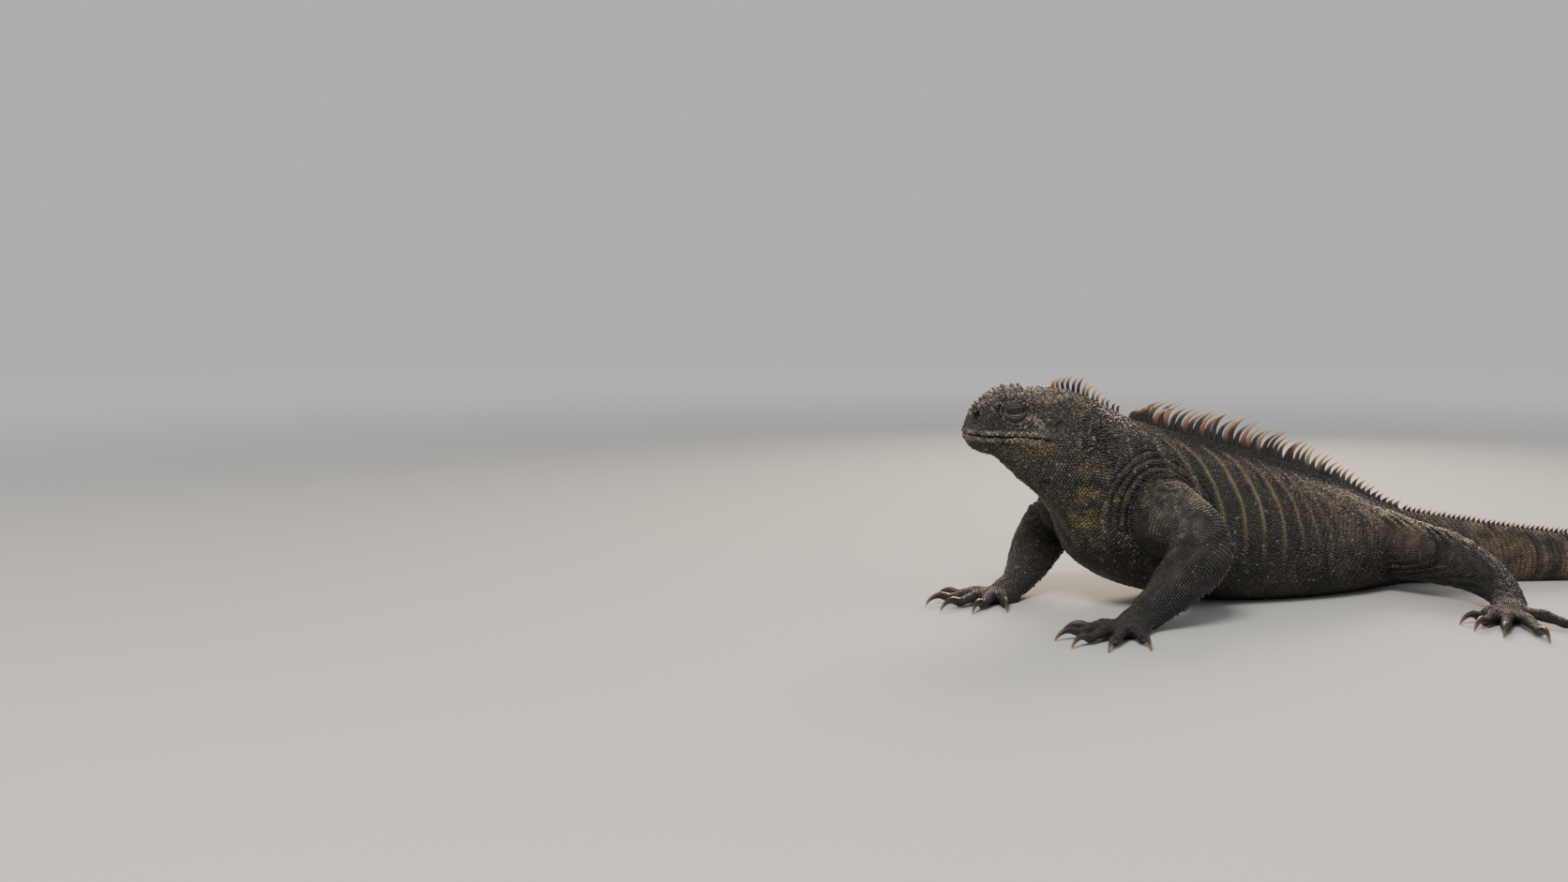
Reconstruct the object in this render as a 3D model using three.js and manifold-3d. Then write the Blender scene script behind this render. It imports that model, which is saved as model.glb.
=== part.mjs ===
// A life-size marine iguana at rest: chest propped on the forelegs, belly and tail on the ground.
// Millimetres, +Z up. The head points to -X and the animal's left side faces -Y.
// The origin lies on the ground under the middle of the belly.

import * as THREE from "three";
import { mergeVertices } from "three/addons/utils/BufferGeometryUtils.js";
import Module from "manifold-3d";

const wasm = await Module();
wasm.setup();

// Driving dimensions
const GAP = 0.3;              // between nodes that meet face to face
const HEAD_TURN = 24;         // degrees that the head is turned to the animal's right
const EAR = { x: -226, y: 8, z: 162 };   // middle of the head at the level of the ears
const EYE_RADIUS = 8;
const CLAW_LENGTH = 19;

// The trunk, neck and tail as sections from under the jaw to the tail tip. Each row gives the top
// and bottom of one section in side view, where its middle lies across, its half width, the level of
// its widest place (-1 bottom, 1 top), how square its upper and lower halves are, and its keel.
const BODY = [
  // top x, z;   bottom x, z;   across, half width, widest, upper, lower, keel
  [-250, 168, -274, 128, 20, 16, -0.1, 2.0, 2.0, 0],
  [-229, 180, -257, 112, 13, 27, -0.1, 2.0, 2.0, 0],
  [-206, 177, -239, 96, 6, 35, -0.1, 2.0, 2.1, 1],
  [-180, 165, -222, 74, 2, 43, -0.1, 1.9, 2.1, 2],
  [-150, 154, -203, 40, 0, 52, -0.12, 1.85, 2.2, 4],
  [-112, 145, -160, 17, 0, 60, -0.15, 1.85, 2.3, 8],
  [-66, 135, -100, 4, 0, 65, -0.2, 1.85, 2.4, 10],
  [-20, 123, -40, -3, 0, 68, -0.25, 1.85, 2.5, 10],
  [28, 109, 20, -5, 0, 67, -0.25, 1.85, 2.5, 9],
  [70, 95, 70, -5, 0, 59, -0.2, 1.85, 2.4, 8],
  [105, 79, 112, -4, -1, 47, -0.15, 1.9, 2.3, 6],
  [138, 66, 145, -3, -6, 36, -0.1, 1.9, 2.2, 4],
  [175, 58, 182, -3, -22, 29, -0.1, 1.9, 2.1, 3],
  [230, 49, 232, -2, -46, 22.5, -0.1, 1.9, 2, 2],
  [300, 40, 300, -2, -70, 18, -0.1, 1.9, 2, 1.5],
  [380, 33, 380, -2, -85, 13.5, -0.1, 1.9, 2, 1],
  [460, 26, 460, -1.5, -84, 10, -0.1, 1.9, 2, 1],
  [540, 20, 540, -1.5, -64, 7.5, -0.1, 1.9, 2, 0.5],
  [615, 14.5, 615, -1, -26, 5.5, -0.1, 1.9, 2, 0.5],
  [680, 9, 680, -1, 22, 3.5, -0.1, 1.9, 2, 0],
  [722, 4.5, 722, -0.8, 66, 1.8, -0.1, 2, 2, 0],
];

// A smooth value in column k of a table, at t counted in rows.
function between(rows, k, t) {
  const i = Math.max(0, Math.min(Math.floor(t), rows.length - 2));
  const u = t - i;
  const at = (j) => rows[Math.max(0, Math.min(rows.length - 1, j))][k];
  const [a, b, c, d] = [at(i - 1), at(i), at(i + 1), at(i + 2)];
  return b + 0.5 * u * (c - a + u * (2 * a - 5 * b + 4 * c - d + u * (3 * (b - c) + d - a)));
}

// Middle of the body's section at t.
function bodyMiddle(t) {
  const v = (k) => between(BODY, k, t);
  return new THREE.Vector3((v(0) + v(2)) / 2, v(4), (v(1) + v(3)) / 2);
}

// The frame of the section at t: its middle, half its height as a vector, and the way across.
function bodyFrame(t) {
  const step = 0.02;
  const heading = bodyMiddle(t + step).sub(bodyMiddle(t - step)).setZ(0).normalize();
  const v = (k) => between(BODY, k, t);
  const half = heading.clone().multiplyScalar((v(0) - v(2)) / 2).setZ((v(1) - v(3)) / 2);
  const across = new THREE.Vector3(heading.y, -heading.x, 0);
  return { middle: bodyMiddle(t), half, across, normal: across.clone().cross(half).normalize() };
}

const KEEL_WIDTH = 9;
const FOLD = { first: -128, last: 30, fade: 60, spacing: 17, sweep: 36, height: 1.8 };

// Height of the rib-like skin folds behind the shoulder; down runs from the back (0) to the belly (1).
function foldHeight(x, down) {
  const swept = x - FOLD.sweep * Math.sin((Math.PI / 2) * Math.min(1, down * 1.6));
  const inside = THREE.MathUtils.smoothstep(swept, FOLD.first - 14, FOLD.first + 4)
    * (1 - THREE.MathUtils.smoothstep(swept, FOLD.last - FOLD.fade, FOLD.last));
  const level = THREE.MathUtils.smoothstep(down, 0.12, 0.3)
    * (1 - THREE.MathUtils.smoothstep(down, 0.6, 0.8));
  const wave = Math.cos((2 * Math.PI * (swept - FOLD.first)) / FOLD.spacing);
  return FOLD.height * inside * level * wave;
}

// The point of the body's skin at section t and angle a, where a quarter turn is the back.
function bodyPoint(t, a, grow = 0) {
  const { middle, half, across } = bodyFrame(t);
  const v = (k) => between(BODY, k, t);
  const [width, widest, upper, lower, keel] = [v(5), v(6), v(7), v(8), Math.max(0, v(9))];
  const [c, s] = [Math.cos(a), Math.sin(a)];
  const power = 2 / (s > 0 ? upper : lower);
  const side = Math.sign(c) * Math.abs(c) ** power * (width + grow);
  const height = half.length();
  const up = s > 0
    ? widest * height + s ** power * ((1 - widest) * height - keel + grow)
    : widest * height - (-s) ** power * ((1 + widest) * height + grow);
  const ridge = s > 0 ? keel * Math.exp(-((side / KEEL_WIDTH) ** 2)) : 0;
  const fold = foldHeight(middle.x, (1 - s) / 2);
  return middle.addScaledVector(half.normalize(), up + ridge + fold * Math.max(0, s))
    .addScaledVector(across, side + fold * c);
}

// Angles round a body section, closer together at the keel.
function anglesRound(count) {
  return Array.from({ length: count }, (_, i) => {
    const s = -1 + (2 * i) / count;
    return Math.PI / 2 + Math.PI * s * (0.45 + 0.55 * s * s);
  });
}

// A closed solid through rings of points, all with the same number of points, with flat ends.
function loft(rings) {
  const n = rings[0].length;
  const middle = (ring) => ring.reduce((m, p) => m.add(p), new THREE.Vector3()).divideScalar(n);
  const points = [...rings.flat(), middle(rings[0]), middle(rings[rings.length - 1])];
  const first = rings.length * n;
  const faces = [];
  for (let i = 0; i < n; i++) {
    const j = (i + 1) % n;
    faces.push(first, j, i, first + 1, first - n + i, first - n + j);
    for (let r = 0; r < rings.length - 1; r++) {
      const [a, b] = [r * n, (r + 1) * n];
      faces.push(a + i, a + j, b + i, b + i, a + j, b + j);
    }
  }
  const geometry = new THREE.BufferGeometry().setFromPoints(points);
  geometry.setIndex(faces);
  return solid(geometry);
}

// A manifold-3d solid from a closed geometry, turned to face outwards.
function solid(geometry) {
  for (const name of ["normal", "uv"]) geometry.deleteAttribute(name);
  const merged = mergeVertices(geometry, 1e-4);
  const triVerts = new Uint32Array(merged.index.array);
  const make = () => new wasm.Manifold(new wasm.Mesh({
    numProp: 3, vertProperties: merged.attributes.position.array, triVerts }));
  const made = make();
  if (made.volume() > 0) return made;
  for (let i = 0; i < triVerts.length; i += 3) {
    [triVerts[i + 1], triVerts[i + 2]] = [triVerts[i + 2], triVerts[i + 1]];
  }
  return make();
}

const LEAST_STRETCH = 0.08;   // the least part of a row between a stretch's last two rings

// The stretch of body between sections from and to, with half a gap left at each end. A grown one,
// which only cuts its neighbours, runs past its ends instead.
function bodyStretch([from, to, spacing, around], grow = 0) {
  const angles = anglesRound(around);
  const stops = [from];
  const fine = 0.02;
  for (let t = from, run = 0; t < to; t += fine) {
    run += bodyMiddle(t).distanceTo(bodyMiddle(t + fine));
    if (run >= spacing) {
      stops.push(t + fine);
      run = 0;
    }
  }
  if (to - stops[stops.length - 1] < LEAST_STRETCH) stops.pop();
  stops.push(to);
  const rings = stops.map((t) => angles.map((a) => bodyPoint(t, a, grow)));
  const nudge = (ring, t, by) => {
    const { normal } = bodyFrame(t);
    const away = bodyMiddle(to).sub(bodyMiddle(from)).dot(normal) > 0 ? 1 : -1;
    ring.forEach((p) => p.addScaledVector(normal, by * away));
  };
  const inset = grow > 0 ? -GAP : GAP / 2;
  nudge(rings[0], from, inset);
  nudge(rings[rings.length - 1], to, -inset);
  return loft(rings);
}

// A tube through rows of x, y, z, half width and half height, with round sections.
function limb(rows, around, steps, grow = 0) {
  const rings = [];
  const last = rows.length - 1;
  const at = (t) => new THREE.Vector3(...[0, 1, 2].map((k) => between(rows, k, t)));
  let side = null;
  for (let r = 0; r <= steps; r++) {
    const t = (r / steps) * last;
    const way = at(Math.min(last, t + 0.05)).sub(at(Math.max(0, t - 0.05))).normalize();
    if (!side) side = new THREE.Vector3(0, 0, 1).cross(way);
    side = side.addScaledVector(way, -side.dot(way)).normalize().clone();
    const up = way.clone().cross(side);
    const [wide, high] = [between(rows, 3, t) + grow, between(rows, 4, t) + grow];
    rings.push(Array.from({ length: around }, (_, i) => {
      const a = (2 * Math.PI * i) / around;
      return at(t).addScaledVector(side, wide * Math.cos(a)).addScaledVector(up, high * Math.sin(a));
    }));
  }
  return loft(rings);
}

const GROUND = [[0, 0, 1], 0];
const nodes = new THREE.Group();

function add(name, shape, material) {
  const whole = shape.trimByPlane(...GROUND).decompose().sort((a, b) => b.volume() - a.volume())[0];
  const { numProp, vertProperties, triVerts } = whole.getMesh();
  const geometry = new THREE.BufferGeometry();
  if (numProp !== 3) throw new Error("expected bare points");
  geometry.setAttribute("position", new THREE.BufferAttribute(new Float32Array(vertProperties), 3));
  geometry.setIndex(new THREE.BufferAttribute(new Uint32Array(triVerts), 1));
  const mesh = new THREE.Mesh(geometry, material);
  mesh.name = name;
  nodes.add(mesh);
}

const skin = new THREE.MeshStandardMaterial({ color: 0x2e2b28, roughness: 0.6, metalness: 0 });

// The head as sections from behind the ear to the snout tip: how far forward of the ears, top,
// bottom, half width, and how square the upper and lower halves are.
const HEAD = [
  [-22, 12, -30, 24, 2.1, 2.1],
  [-12, 17, -31, 27, 2.2, 2.2],
  [0, 19.5, -33, 29.5, 2.3, 2.3],
  [14, 20, -34, 30, 2.5, 2.4],
  [28, 20, -34.5, 28, 2.7, 2.4],
  [40, 19.5, -34.5, 24.5, 2.7, 2.3],
  [50, 17, -34, 21.5, 2.6, 2.3],
  [58, 11.5, -32.5, 19, 2.4, 2.2],
  [66, 4, -29, 15.5, 2.3, 2.2],
  [71, -4, -24, 10.5, 2.2, 2.1],
  [73.6, -11, -17, 3.5, 2, 2],
];
const turn = THREE.MathUtils.degToRad(HEAD_TURN);
const FORWARD = new THREE.Vector3(-Math.cos(turn), Math.sin(turn), 0);
const LEFT = new THREE.Vector3(-Math.sin(turn), -Math.cos(turn), 0);
const UP = new THREE.Vector3(0, 0, 1);

// A place in the head: forward of the ears, to the left, and up.
function inHead(f, l, u) {
  return new THREE.Vector3(EAR.x, EAR.y, EAR.z).addScaledVector(FORWARD, f)
    .addScaledVector(LEFT, l).addScaledVector(UP, u);
}

// The point of the head's skin at section t and angle a, where a quarter turn is the crown.
function headPoint(t, a, grow = 0) {
  const [f, top, bottom, width, upper, lower] = [0, 1, 2, 3, 4, 5].map((k) => between(HEAD, k, t));
  const [c, s] = [Math.cos(a), Math.sin(a)];
  const power = 2 / (s > 0 ? upper : lower);
  const l = Math.sign(c) * Math.abs(c) ** power * (width + grow);
  const u = (top + bottom) / 2 + Math.sign(s) * Math.abs(s) ** power * ((top - bottom) / 2 + grow);
  return inHead(f, l, u);
}

// Which way the head's skin faces there.
function headNormal(t, a) {
  const along = headPoint(t + 0.05, a).sub(headPoint(t - 0.05, a));
  const round = headPoint(t, a + 0.05).sub(headPoint(t, a - 0.05));
  return round.cross(along).normalize();
}

// Half width of the head at a place forward of the ears and at a level.
function headSide(f, u) {
  let t = 0;
  while (t < HEAD.length - 1.02 && between(HEAD, 0, t) < f) t += 0.02;
  const [, top, bottom, width, upper, lower] = [0, 1, 2, 3, 4, 5].map((k) => between(HEAD, k, t));
  const height = (u - (top + bottom) / 2) / ((top - bottom) / 2);
  const power = height > 0 ? upper : lower;
  return width * Math.max(0, 1 - Math.abs(height) ** power) ** (1 / power);
}

function headLoft(count, steps) {
  const rings = [];
  for (let r = 0; r <= steps; r++) {
    const t = (r / steps) * (HEAD.length - 1);
    rings.push(Array.from({ length: count }, (_, i) => headPoint(t, (2 * Math.PI * i) / count)));
  }
  return loft(rings);
}

// A bar along a path, with corners at the given outward and upward steps from it.
function bar(path, outward, corners) {
  return loft(path.map((p, i) => corners.map(([out, up]) => p.clone()
    .addScaledVector(outward[i], out).addScaledVector(UP, up))));
}

const MOUTH = { front: 72.5, corner: 10, level: -17.5, dip: -19.5 };
const LIP = { shift: 2.9, sink: 0.4, corners: [[1.2, 0.9], [-1.5, 1.8], [-1.5, -1.8], [1.2, -0.9]] };
const MOUTH_GROOVE = [[3.5, 0.9], [3.5, -0.9], [-2.6, -0.25], [-2.6, 0.25]];

// The line of the mouth from one corner round the snout to the other, shifted up or down.
function mouthLine(shift, count, sink = 0) {
  const path = [];
  for (let i = 0; i <= count; i++) {
    const s = (2 * i) / count - 1;
    const back = Math.abs(s) ** 1.5;
    const f = MOUTH.front - (MOUTH.front - MOUTH.corner) * back;
    const dip = (MOUTH.dip - MOUTH.level) * THREE.MathUtils.smoothstep(back, 0.75, 1);
    const u = MOUTH.level + dip + shift;
    path.push(inHead(f, Math.sign(s) * Math.max(0, headSide(f, u) - sink), u));
  }
  return new THREE.CatmullRomCurve3(path).getSpacedPoints(count);
}

function outwardOf(path) {
  return path.map((p, i) => {
    const way = path[Math.min(i + 1, path.length - 1)].clone().sub(path[Math.max(i - 1, 0)]);
    return way.cross(UP).normalize();
  });
}

const ball = (radius, detail) => solid(new THREE.IcosahedronGeometry(radius, detail));

// A ball stretched forward, sideways and up, and set at a place on one side of the head.
function blob({ f, l, u, radius }, side, stretch, detail = 1) {
  const geometry = new THREE.IcosahedronGeometry(radius, detail);
  const frame = new THREE.Matrix4().makeBasis(FORWARD, LEFT, UP)
    .multiply(new THREE.Matrix4().makeScale(...stretch)).setPosition(inHead(f, side * l, u));
  return solid(geometry.applyMatrix4(frame));
}

const EYE = { f: 34, l: 19.5, u: 2.6 };
const LIDS = {
  length: 8.2, height: 3.1, thickness: 1.7, depths: [4, 14], points: 12, almond: 1.3, tilt: 0.07,
};
const NOSTRIL = { f: 65, l: 15.6, u: -1, radius: 2.5 };
const NOSTRIL_RIM = { f: 64.5, l: 13.4, u: -1, radius: 5 };
const JOWL = { f: 10, l: 25, u: -24, radius: 11 };
const EAR_CUP = { f: -1, l: 31, u: -10.5, radius: 5.5 };
const BROW = [[49, 16, 13], [42, 20.5, 13.5], [33, 24.5, 13], [24, 27, 11.5], [14, 27, 8]];
const BROW_WIDTH = 3.2;
const BROW_HEIGHT = 2.6;

let seed = 7;
function random() {
  seed = (seed * 16807) % 2147483647;
  return seed / 2147483647;
}

// The skull with the raised lids, brows, nostril rims, jowls and lips.
function makeHead() {
  let head = headLoft(22, 19);
  for (const side of [-1, 1]) {
    const lids = { ...EYE, l: EYE.l + 0.3, radius: EYE_RADIUS + LIDS.thickness };
    const brow = BROW.map(([f, l, u]) => [...inHead(f, side * l, u).toArray(), BROW_WIDTH, BROW_HEIGHT]);
    head = head.add(blob(lids, side, [1.12, 1, 0.86], 2));
    head = head.add(limb(brow, 5, 6));
    head = head.add(blob(NOSTRIL_RIM, side, [1.1, 0.6, 0.9]));
    head = head.add(blob(JOWL, side, [1.2, 0.45, 0.8]));
  }
  for (const shift of [LIP.shift, -LIP.shift]) {
    const path = mouthLine(shift, 16, LIP.sink);
    head = head.add(bar(path, outwardOf(path), LIP.corners));
  }
  return head;
}

const CROWN = { rows: 8, from: 1.9, step: 0.86, across: 5, spread: 1.75, size: 3, narrow: 1.8 };

// Pyramid scales over the crown and the snout, largest along the middle.
function crownScales() {
  const scales = [];
  for (let row = 0; row < CROWN.rows; row++) {
    const t = CROWN.from + row * CROWN.step;
    const count = CROWN.across - Math.floor((2 * row) / CROWN.rows);
    const shift = row % 2 ? 0.25 : -0.25;
    for (let i = 0; i < count; i++) {
      const place = (i + 0.5 + shift) / count - 0.5;
      const a = Math.PI / 2 + place * (CROWN.spread + 0.2 * random());
      const size = (CROWN.size - CROWN.narrow * Math.abs(place)) * (0.85 + 0.3 * random());
      scales.push(crownScale(t, a, size));
    }
  }
  return scales;
}

function crownScale(t, a, size) {
  const normal = headNormal(t, a);
  const cone = new THREE.ConeGeometry(size * 1.35, size * 2.4, 4);
  cone.applyQuaternion(new THREE.Quaternion().setFromUnitVectors(new THREE.Vector3(0, 1, 0), normal));
  const at = headPoint(t, a).addScaledVector(normal, size * 0.3);
  return solid(cone.translate(at.x, at.y, at.z));
}

// The parts of the head that are sunk in: mouth line, nostrils, ears and eye sockets with their lids.
function headHollows() {
  const cuts = [];
  const path = mouthLine(0, 20);
  cuts.push(bar(path, outwardOf(path), MOUTH_GROOVE));
  for (const side of [-1, 1]) {
    cuts.push(blob(NOSTRIL, side, [1.2, 1.7, 1]));
    cuts.push(blob(EAR_CUP, side, [1, 0.6, 1.25], 2));
    cuts.push(ball(EYE_RADIUS + GAP, 2).translate(inHead(EYE.f, side * EYE.l, EYE.u).toArray()));
    cuts.push(loft(LIDS.depths.map((depth) => lidOpening(side, depth))));
  }
  return cuts;
}

// The almond-shaped edge of the opening between the lids, at a depth out from the eye's middle.
function lidOpening(side, depth) {
  return Array.from({ length: LIDS.points }, (_, i) => {
    const a = (2 * Math.PI * i) / LIDS.points;
    const lift = Math.sign(Math.sin(a)) * Math.abs(Math.sin(a)) ** LIDS.almond;
    const f = LIDS.length * Math.cos(a);
    return inHead(EYE.f + f, side * (EYE.l + depth), EYE.u + LIDS.height * lift - LIDS.tilt * f);
  });
}

// Crest spines: a flattened blade that leans and curls backwards, its root sunk in the keel.
const NAPE = { from: 1.0, to: 3.3, count: 10, height: 15, length: 4.6, thick: 2.6, upright: 0.75 };
const DORSAL = { from: 3.75, to: 11.1, spacing: 8.5, height: 24, length: 6.4, thick: 3, upright: 0.3 };
const CAUDAL = { spacing: 16, height: 4.8, length: 6, thick: 2, upright: 0 };
const ROOT = 3;

function spine(t, height, size, middle = true) {
  const root = bodyPoint(t, Math.PI / 2);
  const { half, across } = bodyFrame(t);
  const back = bodyMiddle(t + 0.05).sub(bodyMiddle(t - 0.05)).normalize();
  const up = across.clone().cross(back).normalize();
  if (up.dot(half) < 0) up.negate();
  up.lerp(UP, size.upright).normalize();
  const rings = [[-ROOT, 1.05, 0], [height * 0.5, 0.62, 0.1], [height, 0.18, 0.36]];
  if (!middle) rings.splice(1, 1);
  return loft(rings.map(([rise, share, lean]) => {
    const at = root.clone().addScaledVector(up, rise).addScaledVector(back, lean * height);
    const [long, wide] = [(size.length / 2) * share, (size.thick / 2) * Math.max(share, 0.2)];
    return [[long, 0], [-long, wide], [-long, -wide]]
      .map(([x, y]) => at.clone().addScaledVector(back, x).addScaledVector(across, y));
  }));
}

// Sections spaced evenly along the back from one section to another.
function alongBack(from, to, spacing) {
  const stops = [];
  const fine = 0.01;
  for (let t = from, run = spacing / 2; t < to; t += fine) {
    run += bodyPoint(t, Math.PI / 2).distanceTo(bodyPoint(t + fine, Math.PI / 2));
    if (run >= spacing) {
      stops.push(t);
      run -= spacing;
    }
  }
  return stops;
}

function napeSpines() {
  return Array.from({ length: NAPE.count }, (_, i) => {
    const s = i / (NAPE.count - 1);
    const height = NAPE.height * (0.5 + 0.5 * Math.sin(Math.PI * Math.min(1, 0.25 + s * 0.75)));
    return spine(NAPE.from + (NAPE.to - NAPE.from) * s, height * (0.92 + 0.16 * random()), NAPE);
  });
}

function dorsalSpines(from, to) {
  return alongBack(from, to, DORSAL.spacing).map((t) => {
    const s = (t - DORSAL.from) / (DORSAL.to - DORSAL.from);
    const rise = THREE.MathUtils.smoothstep(s, -0.15, 0.1);
    const fall = 1 - 0.68 * THREE.MathUtils.smoothstep(s, 0.35, 1);
    return spine(t, DORSAL.height * rise * fall * (0.9 + 0.2 * random()), DORSAL);
  });
}

function tailSpines(from, to) {
  return alongBack(from + 0.05, to - 0.05, CAUDAL.spacing).map((t) => {
    const left = 1 - 0.75 * THREE.MathUtils.smoothstep(t, 14, 20);
    return spine(t, CAUDAL.height * left * (0.9 + 0.2 * random()), CAUDAL, false);
  });
}

// Feet: a padded sole with five toes, each ending in a strong hooked claw. The sole has a length,
// width and height. A toe has an angle in degrees from the foot's own heading, positive outwards,
// and a length up to the claw's root.
const FOREFOOT = { sole: [19, 15, 10], toes: [[-50, 25], [-23, 38], [0, 45], [23, 42], [52, 30]] };
const HINDFOOT = { sole: [24, 14, 11], toes: [[-46, 27], [-26, 42], [-8, 54], [12, 64], [50, 42]] };
const TOE = { root: 5.8, middle: 4.7, tip: 3.8 };

const CLAW = [[0.1, 5.6, 3.1, 3.5], [0.45, 7.8, 2.3, 3], [0.8, 4.6, 1.4, 1.8], [0.97, -0.2, 0.5, 0.5]];
const SOLE_SINK = 5.5;        // how far the rounded sole reaches below the ground before it is flattened

function foot(ankle, middle, heading, outward, form) {
  const way = (deg) => {
    const a = outward * THREE.MathUtils.degToRad(heading + deg);
    return new THREE.Vector3(-Math.cos(a), -Math.sin(a), 0);
  };
  const [x, y] = middle;
  const [long, wide, high] = form.sole;
  const sole = new THREE.IcosahedronGeometry(1, 1);
  sole.applyMatrix4(new THREE.Matrix4().makeBasis(way(0), UP.clone().cross(way(0)), UP)
    .multiply(new THREE.Matrix4().makeScale(long, wide, high)).setPosition(x, y, high - SOLE_SINK));
  const instep = [(ankle[0] + x) / 2, (ankle[1] + y) / 2, 9.5, 13.5, 10];
  const toes = form.toes.map(([deg, length]) => toe([x, y], way(deg), long * 0.35, length));
  return [limb([[...ankle, 12, 11], instep, [x, y, 6.5, 13, 9]], 8, 3), ...toes]
    .reduce((whole, one) => whole.add(one), solid(sole));
}

// A toe and its claw as one tube from a root under the sole.
function toe([x, y], way, root, length) {
  const start = new THREE.Vector3(x, y, 0).addScaledVector(way, root);
  const at = (run, z, wide, high = wide) =>
    [...start.clone().addScaledVector(way, run).setZ(z).toArray(), wide, high];
  const claw = CLAW.map(([share, z, wide, high]) => at(length + CLAW_LENGTH * share, z, wide, high));
  const digit = [at(0, 7, TOE.root), at(length * 0.5, 7.5, TOE.middle), at(length * 0.95, 5, TOE.tip)];
  const rows = [...digit, ...claw];
  return limb(rows, 6, rows.length - 1);
}

const LEG_POINTS = 12;        // round a leg

// A leg through its rows. A sharp crook has a tube on each side of a ball, so that it stays clean.
function leg(rows, elbow, sharp) {
  if (!sharp) return limb(rows, LEG_POINTS, 10);
  const bend = Math.floor(elbow);
  const [x, y, z, radius] = rows[bend];
  return limb(rows.slice(0, bend + 1), LEG_POINTS, 3).add(limb(rows.slice(bend), LEG_POINTS, 4))
    .add(ball(radius, 1).translate([x, y, z]));
}

// Each leg from its root in the trunk to the ankle: x, y, z, half width, half height.
const LIMBS = {
  left_fore: { elbow: 3.2, wrist: 6.1, rows: [
    [-150, -18, 86, 30, 30], [-158, -44, 80, 32, 32], [-160, -68, 76, 28, 28], [-154, -92, 64, 24, 24],
    [-164, -98, 50, 22, 22], [-180, -98, 36, 19.5, 19.5], [-197, -97, 21, 15, 15], [-212, -98, 12, 13, 12]],
    foot: [[-212, -98, 11], [-232, -106], 18, 1, FOREFOOT] },
  right_fore: { elbow: 3.2, wrist: 6.1, rows: [
    [-150, 18, 86, 30, 30], [-160, 44, 80, 32, 32], [-166, 66, 74, 28, 28], [-172, 84, 62, 24, 24],
    [-184, 83, 50, 22, 22], [-201, 74, 36, 19.5, 19.5], [-217, 64, 21, 15, 15], [-230, 57, 12, 13, 12]],
    foot: [[-230, 57, 11], [-248, 50], -14, -1, FOREFOOT] },
  left_hind: { elbow: 3.25, wrist: 5.2, rows: [
    [90, -10, 44, 28, 28], [96, -42, 40, 28, 28], [103, -74, 37, 25, 25], [110, -104, 32, 21, 21],
    [111, -128, 25, 17, 17], [106, -150, 17, 13.5, 13.5], [98, -164, 12, 13, 11]],
    foot: [[98, -164, 11], [82, -180], 46, 1, HINDFOOT] },
  right_hind: { elbow: 3.25, wrist: 5.2, rows: [
    [90, 10, 44, 28, 28], [96, 42, 40, 28, 28], [103, 74, 37, 25, 25], [113, 104, 32, 21, 21],
    [120, 128, 25, 17, 17], [122, 150, 17, 13.5, 13.5], [118, 166, 12, 13, 11]],
    foot: [[118, 166, 11], [104, 184], 40, -1, HINDFOOT] },
};

// The head, neck, trunk and tail are one body, parted by thin cuts.
const crestOf = (shape, spines) => spines.reduce((whole, one) => whole.add(one), shape);
const NECK_CUT = { lean: 0.36, at: inHead(-10.8, 0, -10) };
const neckNormal = FORWARD.clone().multiplyScalar(Math.cos(NECK_CUT.lean))
  .addScaledVector(UP, Math.sin(NECK_CUT.lean));
const reach = NECK_CUT.at.dot(neckNormal);
const [nx, ny, nz] = neckNormal.toArray();

// Stretches of the body: from and to as sections, the spacing of the rings and the points round them.
// The dorsal crest runs over the neck's end, with no spine on the cut.
const CREST_BREAK = [4.1, 4.27];
const LAST_TAIL_SPINE = 19.6;
const STRETCHES = {
  neck: [0, 4.2, 10, 22],
  torso: [4.2, 11.3, 7.8, 22],
  tail_base: [11.3, 13.6, 14, 16],
  tail_middle: [13.6, 16, 20, 12],
  tail_rear: [16, 18, 24, 10],
  tail_tip: [18, 20, 24, 8],
};

let fore = makeHead().add(bodyStretch(STRETCHES.neck));
fore = crestOf(fore, [...napeSpines(), ...dorsalSpines(DORSAL.from, CREST_BREAK[0]), ...crownScales()]);
for (const cut of headHollows()) fore = fore.subtract(cut);
add("head", fore.trimByPlane([nx, ny, nz], reach + GAP / 2), skin);
add("neck", fore.trimByPlane([-nx, -ny, -nz], -reach + GAP / 2), skin);
add("torso", crestOf(bodyStretch(STRETCHES.torso), dorsalSpines(CREST_BREAK[1], DORSAL.to)), skin);
for (const name of ["tail_base", "tail_middle", "tail_rear", "tail_tip"]) {
  const [from, to] = STRETCHES[name];
  add(name, crestOf(bodyStretch(STRETCHES[name]), tailSpines(from, Math.min(to, LAST_TAIL_SPINE))), skin);
}

// A plane across a leg at one of its rows: its normal, the opposite way, and its distance.
function cutAcross(rows, row) {
  const at = (t) => new THREE.Vector3(...[0, 1, 2].map((k) => between(rows, k, t)));
  const normal = at(row + 0.3).sub(at(row - 0.3)).normalize();
  return { normal: normal.toArray(), back: normal.clone().negate().toArray(), offset: at(row).dot(normal) };
}

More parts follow.
